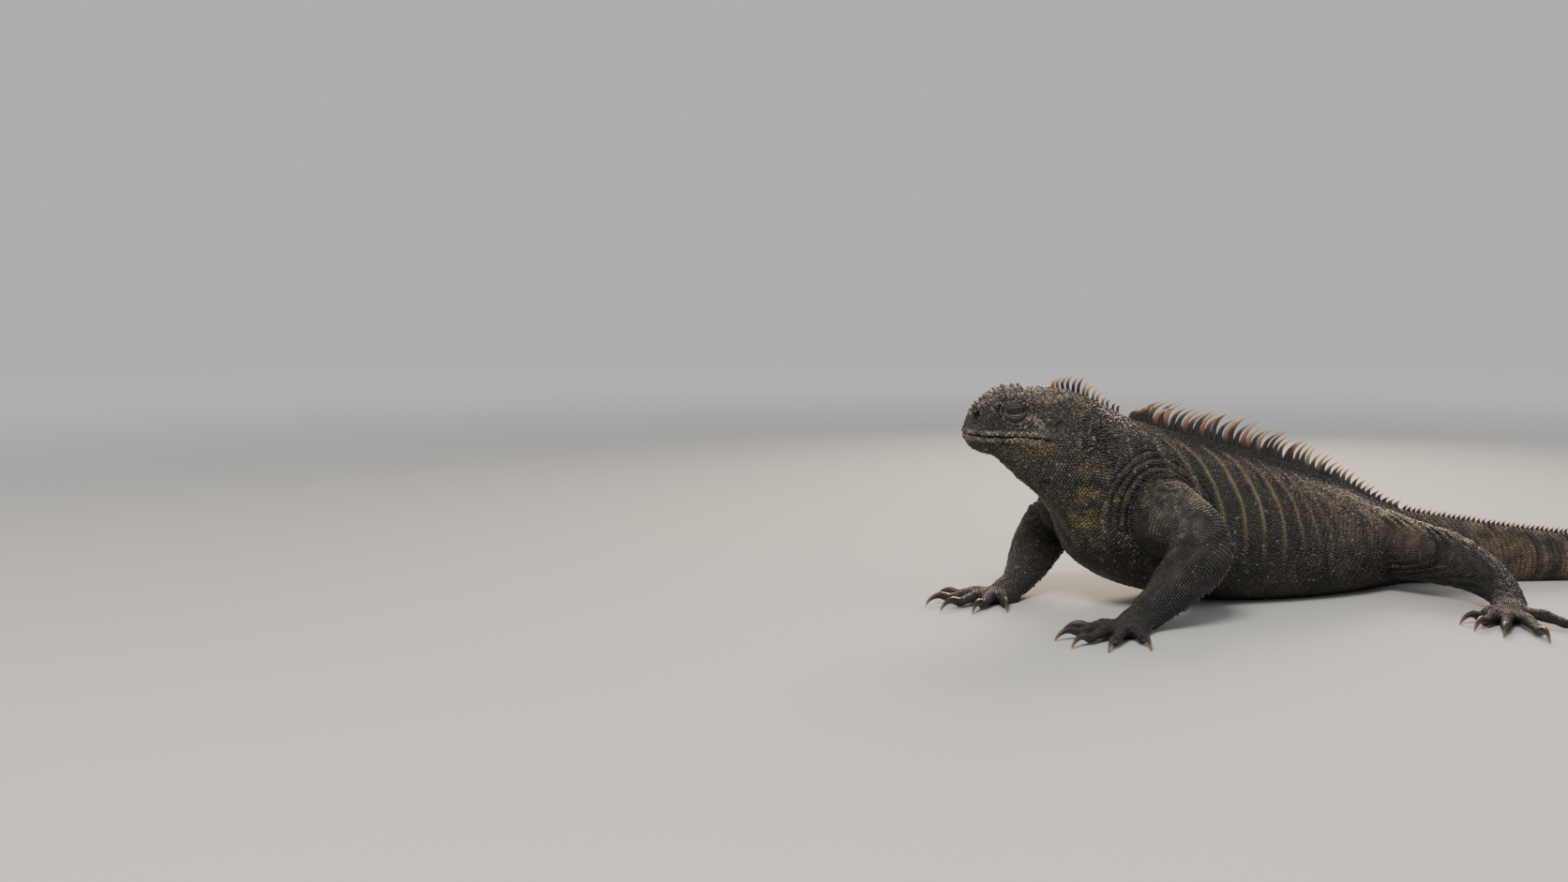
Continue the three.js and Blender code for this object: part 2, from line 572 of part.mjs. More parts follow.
const trunk = ["neck", "torso", "tail_base"].map((name) => bodyStretch(STRETCHES[name], GAP))
  .reduce((whole, one) => whole.add(one));
for (const [name, { rows, elbow, wrist, foot: form }] of Object.entries(LIMBS)) {
  const whole = leg(rows, elbow, name.endsWith("fore")).add(foot(...form)).subtract(trunk);
  const mid = cutAcross(rows, elbow);
  const end = cutAcross(rows, wrist);
  const lower = whole.trimByPlane(mid.normal, mid.offset + GAP / 2);
  const legs = name.endsWith("fore") ? ["upper_arm", "forearm", "forefoot"] : ["thigh", "shin", "hindfoot"];
  const side = name.split("_")[0];
  add(`${legs[0]}_${side}`, whole.trimByPlane(mid.back, -mid.offset + GAP / 2), skin);
  add(`${legs[1]}_${side}`, lower.trimByPlane(end.back, -end.offset + GAP / 2), skin);
  add(`${legs[2]}_${side}`, lower.trimByPlane(end.normal, end.offset + GAP / 2), skin);
}

const eye = new THREE.MeshStandardMaterial({ color: 0x17120d, roughness: 0.1, metalness: 0 });
for (const [side, name] of [[1, "eye_left"], [-1, "eye_right"]]) {
  add(name, ball(EYE_RADIUS, 2).translate(inHead(EYE.f, side * EYE.l, EYE.u).toArray()), eye);
}

export default nodes;
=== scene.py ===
# A marine iguana at rest, dressed over its solids: one skin, a coat of solid scales, the crest,
# claws, eyes and lids, on a plain pale floor in soft studio light.

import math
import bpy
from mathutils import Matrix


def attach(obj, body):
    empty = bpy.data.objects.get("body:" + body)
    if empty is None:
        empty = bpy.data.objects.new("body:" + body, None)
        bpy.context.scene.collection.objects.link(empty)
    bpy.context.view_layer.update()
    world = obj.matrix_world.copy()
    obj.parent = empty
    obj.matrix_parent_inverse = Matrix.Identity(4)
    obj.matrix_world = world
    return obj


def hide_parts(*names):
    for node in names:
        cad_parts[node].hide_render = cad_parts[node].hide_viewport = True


bl_info = {
    "name": "Marine iguana",
    "version": (1, 0, 0),
    "blender": (4, 5, 0),
    "location": "3D View > Sidebar > Iguana",
    "description": "Builds the skin, scales, crest, claws and eyes of a life-size marine iguana",
    "category": "Object",
}

import bmesh
import bpy
import numpy as np
from mathutils import Vector
from mathutils.bvhtree import BVHTree

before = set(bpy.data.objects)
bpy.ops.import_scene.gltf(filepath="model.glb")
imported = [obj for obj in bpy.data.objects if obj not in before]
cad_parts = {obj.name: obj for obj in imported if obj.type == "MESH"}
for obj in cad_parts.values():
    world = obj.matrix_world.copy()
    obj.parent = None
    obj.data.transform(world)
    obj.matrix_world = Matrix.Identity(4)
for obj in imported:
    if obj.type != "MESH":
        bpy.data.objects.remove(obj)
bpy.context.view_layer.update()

MM = 0.001
FLESH = [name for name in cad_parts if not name.startswith("eye")]

# Trunk, neck and tail as sections from under the jaw to the tail tip, in millimetres: top x and z,
# bottom x and z, middle across, half width, level of the widest place, how square the upper and
# lower halves are, and the height of the keel.
BODY = np.array([
    (-250, 168, -274, 128, 20, 16, -0.1, 2.0, 2.0, 0),
    (-229, 180, -257, 112, 13, 27, -0.1, 2.0, 2.0, 0),
    (-206, 177, -239, 96, 6, 35, -0.1, 2.0, 2.1, 1),
    (-180, 165, -222, 74, 2, 43, -0.1, 1.9, 2.1, 2),
    (-150, 154, -203, 40, 0, 52, -0.12, 1.85, 2.2, 4),
    (-112, 145, -160, 17, 0, 60, -0.15, 1.85, 2.3, 8),
    (-66, 135, -100, 4, 0, 65, -0.2, 1.85, 2.4, 10),
    (-20, 123, -40, -3, 0, 68, -0.25, 1.85, 2.5, 10),
    (28, 109, 20, -5, 0, 67, -0.25, 1.85, 2.5, 9),
    (70, 95, 70, -5, 0, 59, -0.2, 1.85, 2.4, 8),
    (105, 79, 112, -4, -1, 47, -0.15, 1.9, 2.3, 6),
    (138, 66, 145, -3, -6, 36, -0.1, 1.9, 2.2, 4),
    (175, 58, 182, -3, -22, 29, -0.1, 1.9, 2.1, 3),
    (230, 49, 232, -2, -46, 22.5, -0.1, 1.9, 2, 2),
    (300, 40, 300, -2, -70, 18, -0.1, 1.9, 2, 1.5),
    (380, 33, 380, -2, -85, 13.5, -0.1, 1.9, 2, 1),
    (460, 26, 460, -1.5, -84, 10, -0.1, 1.9, 2, 1),
    (540, 20, 540, -1.5, -64, 7.5, -0.1, 1.9, 2, 0.5),
    (615, 14.5, 615, -1, -26, 5.5, -0.1, 1.9, 2, 0.5),
    (680, 9, 680, -1, 22, 3.5, -0.1, 1.9, 2, 0),
    (722, 4.5, 722, -0.8, 66, 1.8, -0.1, 2, 2, 0),
], float)
KEEL_WIDTH = 9
RINGS_A_SECTION = 27.5      # rings of the body's grid between two sections

# The head as sections from behind the ear to the snout tip: how far forward of the ears, top,
# bottom, half width, and how square the upper and lower halves are.
HEAD = np.array([
    (-22, 12, -30, 24, 2.1, 2.1),
    (-12, 17, -31, 27, 2.2, 2.2),
    (0, 19.5, -33, 29.5, 2.3, 2.3),
    (14, 20, -34, 30, 2.5, 2.4),
    (28, 20, -34.5, 28, 2.7, 2.4),
    (40, 19.5, -34.5, 24.5, 2.7, 2.3),
    (50, 17, -34, 21.5, 2.6, 2.3),
    (58, 11.5, -32.5, 19, 2.4, 2.2),
    (66, 4, -29, 15.5, 2.3, 2.2),
    (71, -4, -24, 10.5, 2.2, 2.1),
    (73.6, -11, -17, 3.5, 2, 2),
], float)
HEAD_TURN = math.radians(24)
EARS = np.array((-226.0, 8.0, 162.0))
FORWARD = np.array((-math.cos(HEAD_TURN), math.sin(HEAD_TURN), 0.0))
LEFT = np.array((-math.sin(HEAD_TURN), -math.cos(HEAD_TURN), 0.0))
UP = np.array((0.0, 0.0, 1.0))

# Places in the head: forward of the ears, to the side, up.
EYE = (34, 19.5, 2.6)
NOSTRIL = (65, 13.5, -1)
EAR_HOLE = (-1, 29.5, -10.5)
MOUTH_F = (-3, 7, 16, 28, 43, 58, 73)
MOUTH_U = (-24, -21.2, -19, -17.6, -18.2, -18.2, -16.2)
MOUTH_END = 5

# Legs from the root in the trunk to the ankle: x, y, z, half width, half height.
LEGS = {
    "left_fore": [
        (-150, -18, 86, 30, 30), (-158, -44, 80, 32, 32), (-160, -68, 76, 28, 28),
        (-154, -92, 64, 24, 24), (-164, -98, 50, 22, 22), (-180, -98, 36, 19.5, 19.5),
        (-197, -97, 21, 15, 15), (-212, -98, 12, 13, 12)],
    "right_fore": [
        (-150, 18, 86, 30, 30), (-160, 44, 80, 32, 32), (-166, 66, 74, 28, 28),
        (-172, 84, 62, 24, 24), (-184, 83, 50, 22, 22), (-201, 74, 36, 19.5, 19.5),
        (-217, 64, 21, 15, 15), (-230, 57, 12, 13, 12)],
    "left_hind": [
        (90, -10, 44, 28, 28), (96, -42, 40, 28, 28), (103, -74, 37, 25, 25), (110, -104, 32, 21, 21),
        (111, -128, 25, 17, 17), (106, -150, 17, 13.5, 13.5), (98, -164, 12, 13, 11)],
    "right_hind": [
        (90, 10, 44, 28, 28), (96, 42, 40, 28, 28), (103, 74, 37, 25, 25), (113, 104, 32, 21, 21),
        (120, 128, 25, 17, 17), (122, 150, 17, 13.5, 13.5), (118, 166, 12, 13, 11)],
}
# Ball of each foot, its heading in degrees from straight ahead, and which side it is on.
FEET = {
    "left_fore": ((-232, -106), 18, 1),
    "right_fore": ((-248, 50), -14, -1),
    "left_hind": ((82, -180), 46, 1),
    "right_hind": ((104, 184), 40, -1),
}
# Half sizes of the sole, and each toe's angle in degrees and length to the claw's root.
FOREFOOT = ((19, 15, 10), ((-50, 25), (-23, 38), (0, 45), (23, 42), (52, 30)))
HINDFOOT = ((24, 14, 11), ((-46, 27), (-26, 42), (-8, 54), (12, 64), (50, 42)))


def form_of(leg):
    """The sole and toes of a leg's foot."""
    return FOREFOOT if leg.endswith("fore") else HINDFOOT


def smoothstep(x, low, high):
    """0 below low, 1 above high and a smooth rise between them."""
    s = np.clip((np.asarray(x, float) - low) / (high - low), 0, 1)
    return s * s * (3 - 2 * s)


def unit(v):
    return v / np.maximum(np.linalg.norm(v, axis=-1, keepdims=True), 1e-9)


def between(rows, t):
    """Smooth values of a table at places t counted in rows."""
    rows = np.asarray(rows, float)
    t = np.asarray(t, float)
    last = len(rows) - 1
    i = np.clip(np.floor(t).astype(int), 0, last - 1)
    u = (t - i)[..., None]
    a, b, c, d = (rows[np.clip(i + k, 0, last)] for k in (-1, 0, 1, 2))
    return b + 0.5 * u * (c - a + u * (2 * a - 5 * b + 4 * c - d + u * (3 * (b - c) + d - a)))


def noise(points, size, seed=0):
    """Smooth noise from 0 to 1 at points, with lumps of about that size."""
    q = np.asarray(points, float) / size + 1000 + 37.3 * seed
    base = np.floor(q).astype(np.int64)
    f = q - base
    f = f * f * (3 - 2 * f)
    total = np.zeros(len(q))
    for corner in range(8):
        step = np.array([corner & 1, corner >> 1 & 1, corner >> 2 & 1])
        cell = base + step
        key = cell[:, 0] * 73856093 ^ cell[:, 1] * 19349663 ^ cell[:, 2] * 83492791
        key = (key ^ key >> 13) * 1274126177 & 0x7FFFFFFF
        weight = np.prod(np.where(step == 1, f, 1 - f), axis=1)
        total += weight * ((key >> 8) & 0xFFFF) / 65535
    return total


def body_middle(t):
    """Middle of the body's sections."""
    v = between(BODY, t)
    return np.stack([(v[..., 0] + v[..., 2]) / 2, v[..., 4], (v[..., 1] + v[..., 3]) / 2], -1)


def body_frame(t):
    """The way across and half the height, as a vector, of the body's sections."""
    heading = body_middle(t + 0.02) - body_middle(t - 0.02)
    heading[..., 2] = 0
    heading = unit(heading)
    v = between(BODY, t)
    half = heading * ((v[..., 0] - v[..., 2]) / 2)[..., None]
    half[..., 2] = (v[..., 1] - v[..., 3]) / 2
    across = np.stack([heading[..., 1], -heading[..., 0], 0 * heading[..., 0]], -1)
    return across, half


def body_points(t, a):
    """Points of the body's skin at sections t and angles a, where a quarter turn is the back."""
    t, a = np.broadcast_arrays(np.asarray(t, float), np.asarray(a, float))
    across, half = body_frame(t)
    width, widest, upper, lower, keel = (between(BODY, t)[..., k] for k in (5, 6, 7, 8, 9))
    c, s = np.cos(a), np.sin(a)
    power = 2 / np.where(s > 0, upper, lower)
    side = np.sign(c) * np.abs(c) ** power * width
    height = np.linalg.norm(half, axis=-1)
    keel = np.maximum(keel, 0)
    rise = np.abs(s) ** power * np.where(s > 0, (1 - widest) * height - keel, -(1 + widest) * height)
    ridge = np.where(s > 0, keel * np.exp(-((side / KEEL_WIDTH) ** 2)), 0)
    up = widest * height + rise + ridge
    return body_middle(t) + unit(half) * up[..., None] + across * side[..., None]


def in_head(f, l, u):
    """The point that lies so far forward, left and up of the ears."""
    f, l, u = (np.asarray(x, float)[..., None] for x in (f, l, u))
    return EARS + FORWARD * f + LEFT * l + UP * u


def head_place(points):
    """How far forward, left and up of the ears points in millimetres are."""
    d = np.asarray(points) - EARS
    return d @ FORWARD, d @ LEFT, d @ UP


def head_points(t, a):
    """Points of the head's skin at sections t and angles a, where a quarter turn is the crown."""
    t, a = np.broadcast_arrays(np.asarray(t, float), np.asarray(a, float))
    f, top, bottom, width, upper, lower = (between(HEAD, t)[..., k] for k in range(6))
    c, s = np.cos(a), np.sin(a)
    power = 2 / np.where(s > 0, upper, lower)
    l = np.sign(c) * np.abs(c) ** power * width
    u = (top + bottom) / 2 + np.sign(s) * np.abs(s) ** power * (top - bottom) / 2
    return in_head(f, l, u)


def tube(rows, rings, around):
    """A grid of points on a round tube through rows of x, y, z, half width and half height."""
    rows = np.asarray(rows, float)
    t = np.linspace(0, len(rows) - 1, rings)
    v = between(rows, t)
    way = unit(np.gradient(v[:, :3], axis=0))
    sides = []
    side = np.cross(UP, way[0])
    for w in way:
        side = side - w * (side @ w)
        side = side / np.linalg.norm(side)
        sides.append(side)
    sides = np.array(sides)
    ups = np.cross(way, sides)
    a = np.linspace(0, 2 * np.pi, around, endpoint=False)
    across = sides[:, None] * (v[:, 3, None] * np.cos(a))[..., None]
    above = ups[:, None] * (v[:, 4, None] * np.sin(a))[..., None]
    return v[:, None, :3] + across + above


def dome(centre, axes, rings=16, around=24):
    """A grid of points on an ellipsoid with those half axes."""
    b = np.linspace(0.02, np.pi - 0.02, rings)[:, None]
    a = np.linspace(0, 2 * np.pi, around, endpoint=False)[None]
    x, y, z = np.cos(b) + 0 * a, np.sin(b) * np.cos(a), np.sin(b) * np.sin(a)
    axes = np.asarray(axes, float)
    across = x[..., None] * axes[0] + y[..., None] * axes[1]
    return np.asarray(centre, float) + across + z[..., None] * axes[2]


def toe_ways(leg):
    """Each toe of a foot as its start, its direction and its length."""
    ball, heading, outward = FEET[leg]
    sole, toes = form_of(leg)
    for degrees, length in toes:
        b = math.radians(outward * (heading + degrees))
        way = np.array((-math.cos(b), -math.sin(b), 0))
        yield np.array((*ball, 0)) + way * sole[0] * 0.35, way, length


def foot_surfaces(leg):
    """Sole, ankle and toes of a foot as grids."""
    (x, y), heading, outward = FEET[leg]
    (long, wide, high), _ = form_of(leg)
    b = math.radians(outward * heading)
    way = np.array((-math.cos(b), -math.sin(b), 0))
    side = np.cross(UP, way)
    ankle = np.array(LEGS[leg][-1][:3])
    sole = dome((x, y, high - 5.5), (way * long, side * wide, UP * high))
    rows = [(*ankle, 12, 11), ((ankle[0] + x) / 2, (ankle[1] + y) / 2, 9.5, 13.5, 10), (x, y, 6.5, 13, 9)]
    toes = []
    for start, d, length in toe_ways(leg):
        at = lambda run, z, r: (*(start + d * run)[:2], z, r, r)
        knuckle = [at(0, 7, 5.8), at(length * 0.3, 7.8, 4.6), at(length * 0.5, 8, 5.0),
                   at(length * 0.75, 6.4, 4.0), at(length * 0.92, 5.2, 4.1), at(length + 1.5, 5.2, 3.0)]
        toes.append(tube(knuckle, 30, 20))
    return [sole, tube(rows, 14, 28)], toes


def triangles(quads, caps):
    """Faces of a shell as triangles only."""
    return np.concatenate([quads[:, [0, 1, 2]], quads[:, [0, 2, 3]], caps])


def places_and_normals(mesh):
    """Vertices of a mesh in millimetres, and their normals."""
    places, normals = (np.empty(3 * len(mesh.vertices)) for _ in range(2))
    mesh.vertices.foreach_get("co", places)
    mesh.vertices.foreach_get("normal", normals)
    return places.reshape(-1, 3) / MM, normals.reshape(-1, 3)


def mesh_object(name, vertices, faces, tint=None, uv=None):
    """A smooth-shaded mesh from arrays of vertices in millimetres and faces of one size."""
    mesh = bpy.data.meshes.new(name)
    faces = np.asarray(faces, np.int32)
    count, corners = faces.shape
    mesh.vertices.add(len(vertices))
    mesh.vertices.foreach_set("co", (np.asarray(vertices, np.float32) * MM).ravel())
    mesh.loops.add(count * corners)
    mesh.loops.foreach_set("vertex_index", faces.ravel())
    mesh.polygons.add(count)
    mesh.polygons.foreach_set("loop_start", np.arange(0, count * corners, corners, dtype=np.int32))
    mesh.polygons.foreach_set("use_smooth", np.ones(count, bool))
    mesh.update(calc_edges=True)
    if tint is not None:
        paint(mesh, tint)
    if uv is not None:
        layer = mesh.uv_layers.new(name="OFBake")
        layer.uv.foreach_set("vector", np.asarray(uv, np.float32)[faces.ravel()].ravel())
    obj = bpy.data.objects.new(name, mesh)
    bpy.context.scene.collection.objects.link(obj)
    return obj


def paint(mesh, tint):
    """Stores a colour for each vertex."""
    layer = mesh.color_attributes.new("tint", "FLOAT_COLOR", "POINT")
    rgba = np.ones((len(tint), 4), np.float32)
    rgba[:, :3] = tint
    layer.data.foreach_set("color", rgba.ravel())


def shell(grid, offset=0):
    """Vertices and quads of a closed shell over a grid, with both ends capped by triangles."""
    rings, around, _ = grid.shape
    r, i = np.meshgrid(np.arange(rings - 1), np.arange(around), indexing="ij")
    j = (i + 1) % around
    quads = np.stack([r * around + i, r * around + j, (r + 1) * around + j, (r + 1) * around + i], -1)
    vertices = np.concatenate([grid.reshape(-1, 3), grid[:1].mean(1), grid[-1:].mean(1)])
    k = np.arange(around)
    n = (k + 1) % around
    first = rings * around
    start = np.stack([n, k, np.full(around, first)], -1)
    end = np.stack([first - around + k, first - around + n, np.full(around, first + 1)], -1)
    return vertices, quads.reshape(-1, 4) + offset, np.concatenate([start, end]) + offset


def body_grid(start, stop, around=128):
    """A grid over the body between two of its sections."""
    t = np.linspace(start, stop, max(8, int((stop - start) * RINGS_A_SECTION)))
    a = np.linspace(0, 2 * np.pi, around, endpoint=False)
    return body_points(t[:, None], a[None])


def head_grid(rings=60, around=96):
    """A grid over the head."""
    t = np.linspace(0, len(HEAD) - 1, rings)
    a = np.linspace(0, 2 * np.pi, around, endpoint=False)
    return head_points(t[:, None], a[None])


def top_at(x):
    """Level of the back and of the belly along the body."""
    return np.interp(x, BODY[:, 0], BODY[:, 1]), np.interp(x, BODY[:, 2], BODY[:, 3])


def ridges(p, size, stretch, seed):
    """Irregular crests from 0 to 1, drawn out along the axes where stretch is small."""
    return 1 - np.abs(2 * noise(p * np.array(stretch), size, seed) - 1)


# Levels above the ground of the lowest skin, scales and scale roots
SKIN_CLEAR = 0.3
SCALE_CLEAR = 0.05
ROOT_CLEAR = 0.35

# Folds of the skin
RIBS = np.array((-146, -126, -107, -86, -67, -47, -28, -11, 4, 17))
RIB_STRENGTH = np.array((0.55, 0.9, 1, 1, 1, 0.9, 0.8, 0.6, 0.45, 0.35))
TAIL_RING = 5.2
SHOULDER = np.array((-160, -66, 82))
HIP = np.array((100, -58, 38))


def rib_fold(p):
    """Crests of the rib-like folds behind the shoulder, and where the skin is folded, from 0 to 1; the
    markings paint a highlight on the crests and shade in the folds.
    """
    x, z = p[:, 0], p[:, 2]
    top, bottom = top_at(x)
    drop = np.maximum(0, top - z)
    down = np.clip(drop / (top - bottom), 0, 1)
    sweep = 5 + 20 * (1 - smoothstep(x, -125, -75))
    place = x + sweep * np.exp(-drop / 16) + 5 * (noise(p, 26, 3) - 0.5)
    away = np.abs(place[:, None] - RIBS)
    nearest = away.argmin(1)
    crest = RIB_STRENGTH[nearest] * np.exp(-((away.min(1) / 1.9) ** 1.3))
    level = smoothstep(drop, 6, 13) * (1 - smoothstep(down + 0.15 * (noise(p, 14, 16) - 0.5), 0.52, 0.78))
    folded = level * RIB_STRENGTH[nearest] * smoothstep(x, -160, -140) * (1 - smoothstep(x, 0, 25))
    return level * crest, folded


def round_root(p, root):
    """Distance from where a leg leaves the trunk, on either side."""
    mirrored = np.stack([p[:, 0], -np.abs(p[:, 1]), p[:, 2]], -1)
    return np.linalg.norm((mirrored - root) * (1, 0.6, 1), axis=1)


def fine_folds(p):
    """Small folds over the flank, neck, shoulder and hip, in millimetres."""
    x, _, z = p.T
    warp = 7 * (noise(p, 22, 5) - 0.5)
    rear = smoothstep(x, -60, -10) * (1 - smoothstep(x, 125, 170))
    oblique = np.cos(2 * np.pi * (x - 0.5 * z + warp) / 5.6)
    out = 0.7 * rear * oblique * (0.35 + 0.9 * noise(p, 17, 12))
    out += 0.9 * rear * (ridges(p, 5, (1, 1, 0.3), 13) - 0.5)
    between_ribs = smoothstep(x, -140, -120) * (1 - rear)
    out += 0.5 * between_ribs * (ridges(p, 5, (1, 0.6, 0.3), 14) - 0.5)
    r = round_root(p, SHOULDER) + 0.5 * warp
    above = smoothstep(z, 62, 80)
    arcs = smoothstep(r, 33, 38) * (1 - smoothstep(r, 48, 62)) * above
    nape = (1 - smoothstep(x, -160, -120)) * smoothstep(z, 84, 112) * (1 - arcs)
    out += 2.5 * nape * (ridges(p, 5.5, (1, 0.7, 0.34), 15) - 0.5)
    out += 1.2 * nape * (ridges(p, 3.2, (1, 0.8, 0.5), 17) - 0.5)
    throat = (1 - smoothstep(x, -160, -130)) * (1 - smoothstep(z, 84, 112)) * (1 - arcs)
    out += 0.8 * throat * (ridges(p, 7, (0.5, 0.8, 1), 18) - 0.5)
    out += 1.25 * arcs * np.cos(2 * np.pi * r / 6.2)
    out -= 2.4 * np.exp(-(((r - 32) / 2.6) ** 2)) * (0.3 + 0.7 * above)
    hip = round_root(p, HIP) + 0.5 * warp
    out += 0.6 * np.cos(2 * np.pi * hip / 5.4) * smoothstep(hip, 28, 32) * (1 - smoothstep(hip, 36, 48))
    out -= 2.2 * np.exp(-(((hip - 26.5) / 2.6) ** 2)) * smoothstep(z, 14, 30)
    tail = smoothstep(x, 135, 165) * (1 - smoothstep(x, 420, 560))
    out += 0.35 * tail * np.cos(2 * np.pi * x / TAIL_RING)
    return out


def mouth_gap(f, u):
    """How far above the line of the mouth."""
    return u - np.interp(f, MOUTH_F, MOUTH_U)


def from_nostril(f, l, u):
    """Distance from the nearer nostril."""
    return np.sqrt((f - NOSTRIL[0]) ** 2 + (np.abs(l) - NOSTRIL[1]) ** 2 + (u - NOSTRIL[2]) ** 2)


def from_ear(f, u):
    """Distance from the ear's middle, seen from the side."""
    return np.hypot(f - EAR_HOLE[0], (u - EAR_HOLE[2]) / 1.25)


def head_relief(p):
    """How far the face is pushed out, in millimetres, at points of the head."""
    f, l, u = head_place(p)
    face = smoothstep(f, -20, -8)
    gap = mouth_gap(f, u)
    lips = smoothstep(f, MOUTH_END - 3, MOUTH_END + 6)
    scallops = 0.3 * np.cos(2 * np.pi * f / 3.4) * np.exp(-(((np.abs(gap) - 2.4) / 1.4) ** 2))
    groove = -2.3 * np.exp(-((gap / 0.8) ** 2))
    swell = 1.0 * np.exp(-(((np.abs(gap) - 2.6) / 1.5) ** 2))
    out = lips * (groove + swell + scallops)
    side = np.abs(l)
    eye = np.hypot((f - EYE[0]) / 1.15, u - EYE[2])
    on_side = smoothstep(side, 12, 17)
    out -= on_side * 3.4 * np.exp(-((eye / 9.2) ** 4))
    pouch = smoothstep(eye, 9, 10.5) * (1 - smoothstep(eye, 13, 18))
    out += on_side * 0.7 * pouch * np.cos(2 * np.pi * (eye - 10.6) / 3.1)
    brow = np.exp(-((u - 12.5 + 0.004 * (f - 30) ** 2) / 2.8) ** 2) * smoothstep(f, 8, 20)
    out += on_side * 2.0 * brow * (1 - smoothstep(f, 46, 54))
    nostril = from_nostril(f, l, u)
    out += 1.7 * np.exp(-(((nostril - 4.2) / 1.5) ** 2)) - 4.6 * np.exp(-((nostril / 2.8) ** 4))
    ear = from_ear(f, u)
    out += on_side * (-1.8 * np.exp(-((ear / 4.4) ** 4)) + 0.9 * np.exp(-(((ear - 6.2) / 1.5) ** 2)))
    cheek = np.exp(-(((f - 12) / 13) ** 2 + ((u + 26) / 8) ** 2))
    out += 2.0 * cheek * on_side
    behind = (1 - smoothstep(f, 4, 18)) * smoothstep(ear, 6.5, 9)
    out += 1.1 * behind * (ridges(p, 5, (1, 1, 0.45), 19) - 0.5)
    out += 0.5 * (ridges(p, 4, (1, 1, 1), 20) - 0.5) * smoothstep(eye, 11, 15)
    return face * out


# Colours
# Painted shade: the skin is darkened to this share where it shows in the gaps between the scales
SKIN_SHADE_BETWEEN_SCALES = 0.6      # how bright the skin is beside its scales


def mixed(a, b, share):
    """Colours a turned towards b by a share for each point."""
    return a + (b - a) * np.clip(share, 0, 1)[:, None]


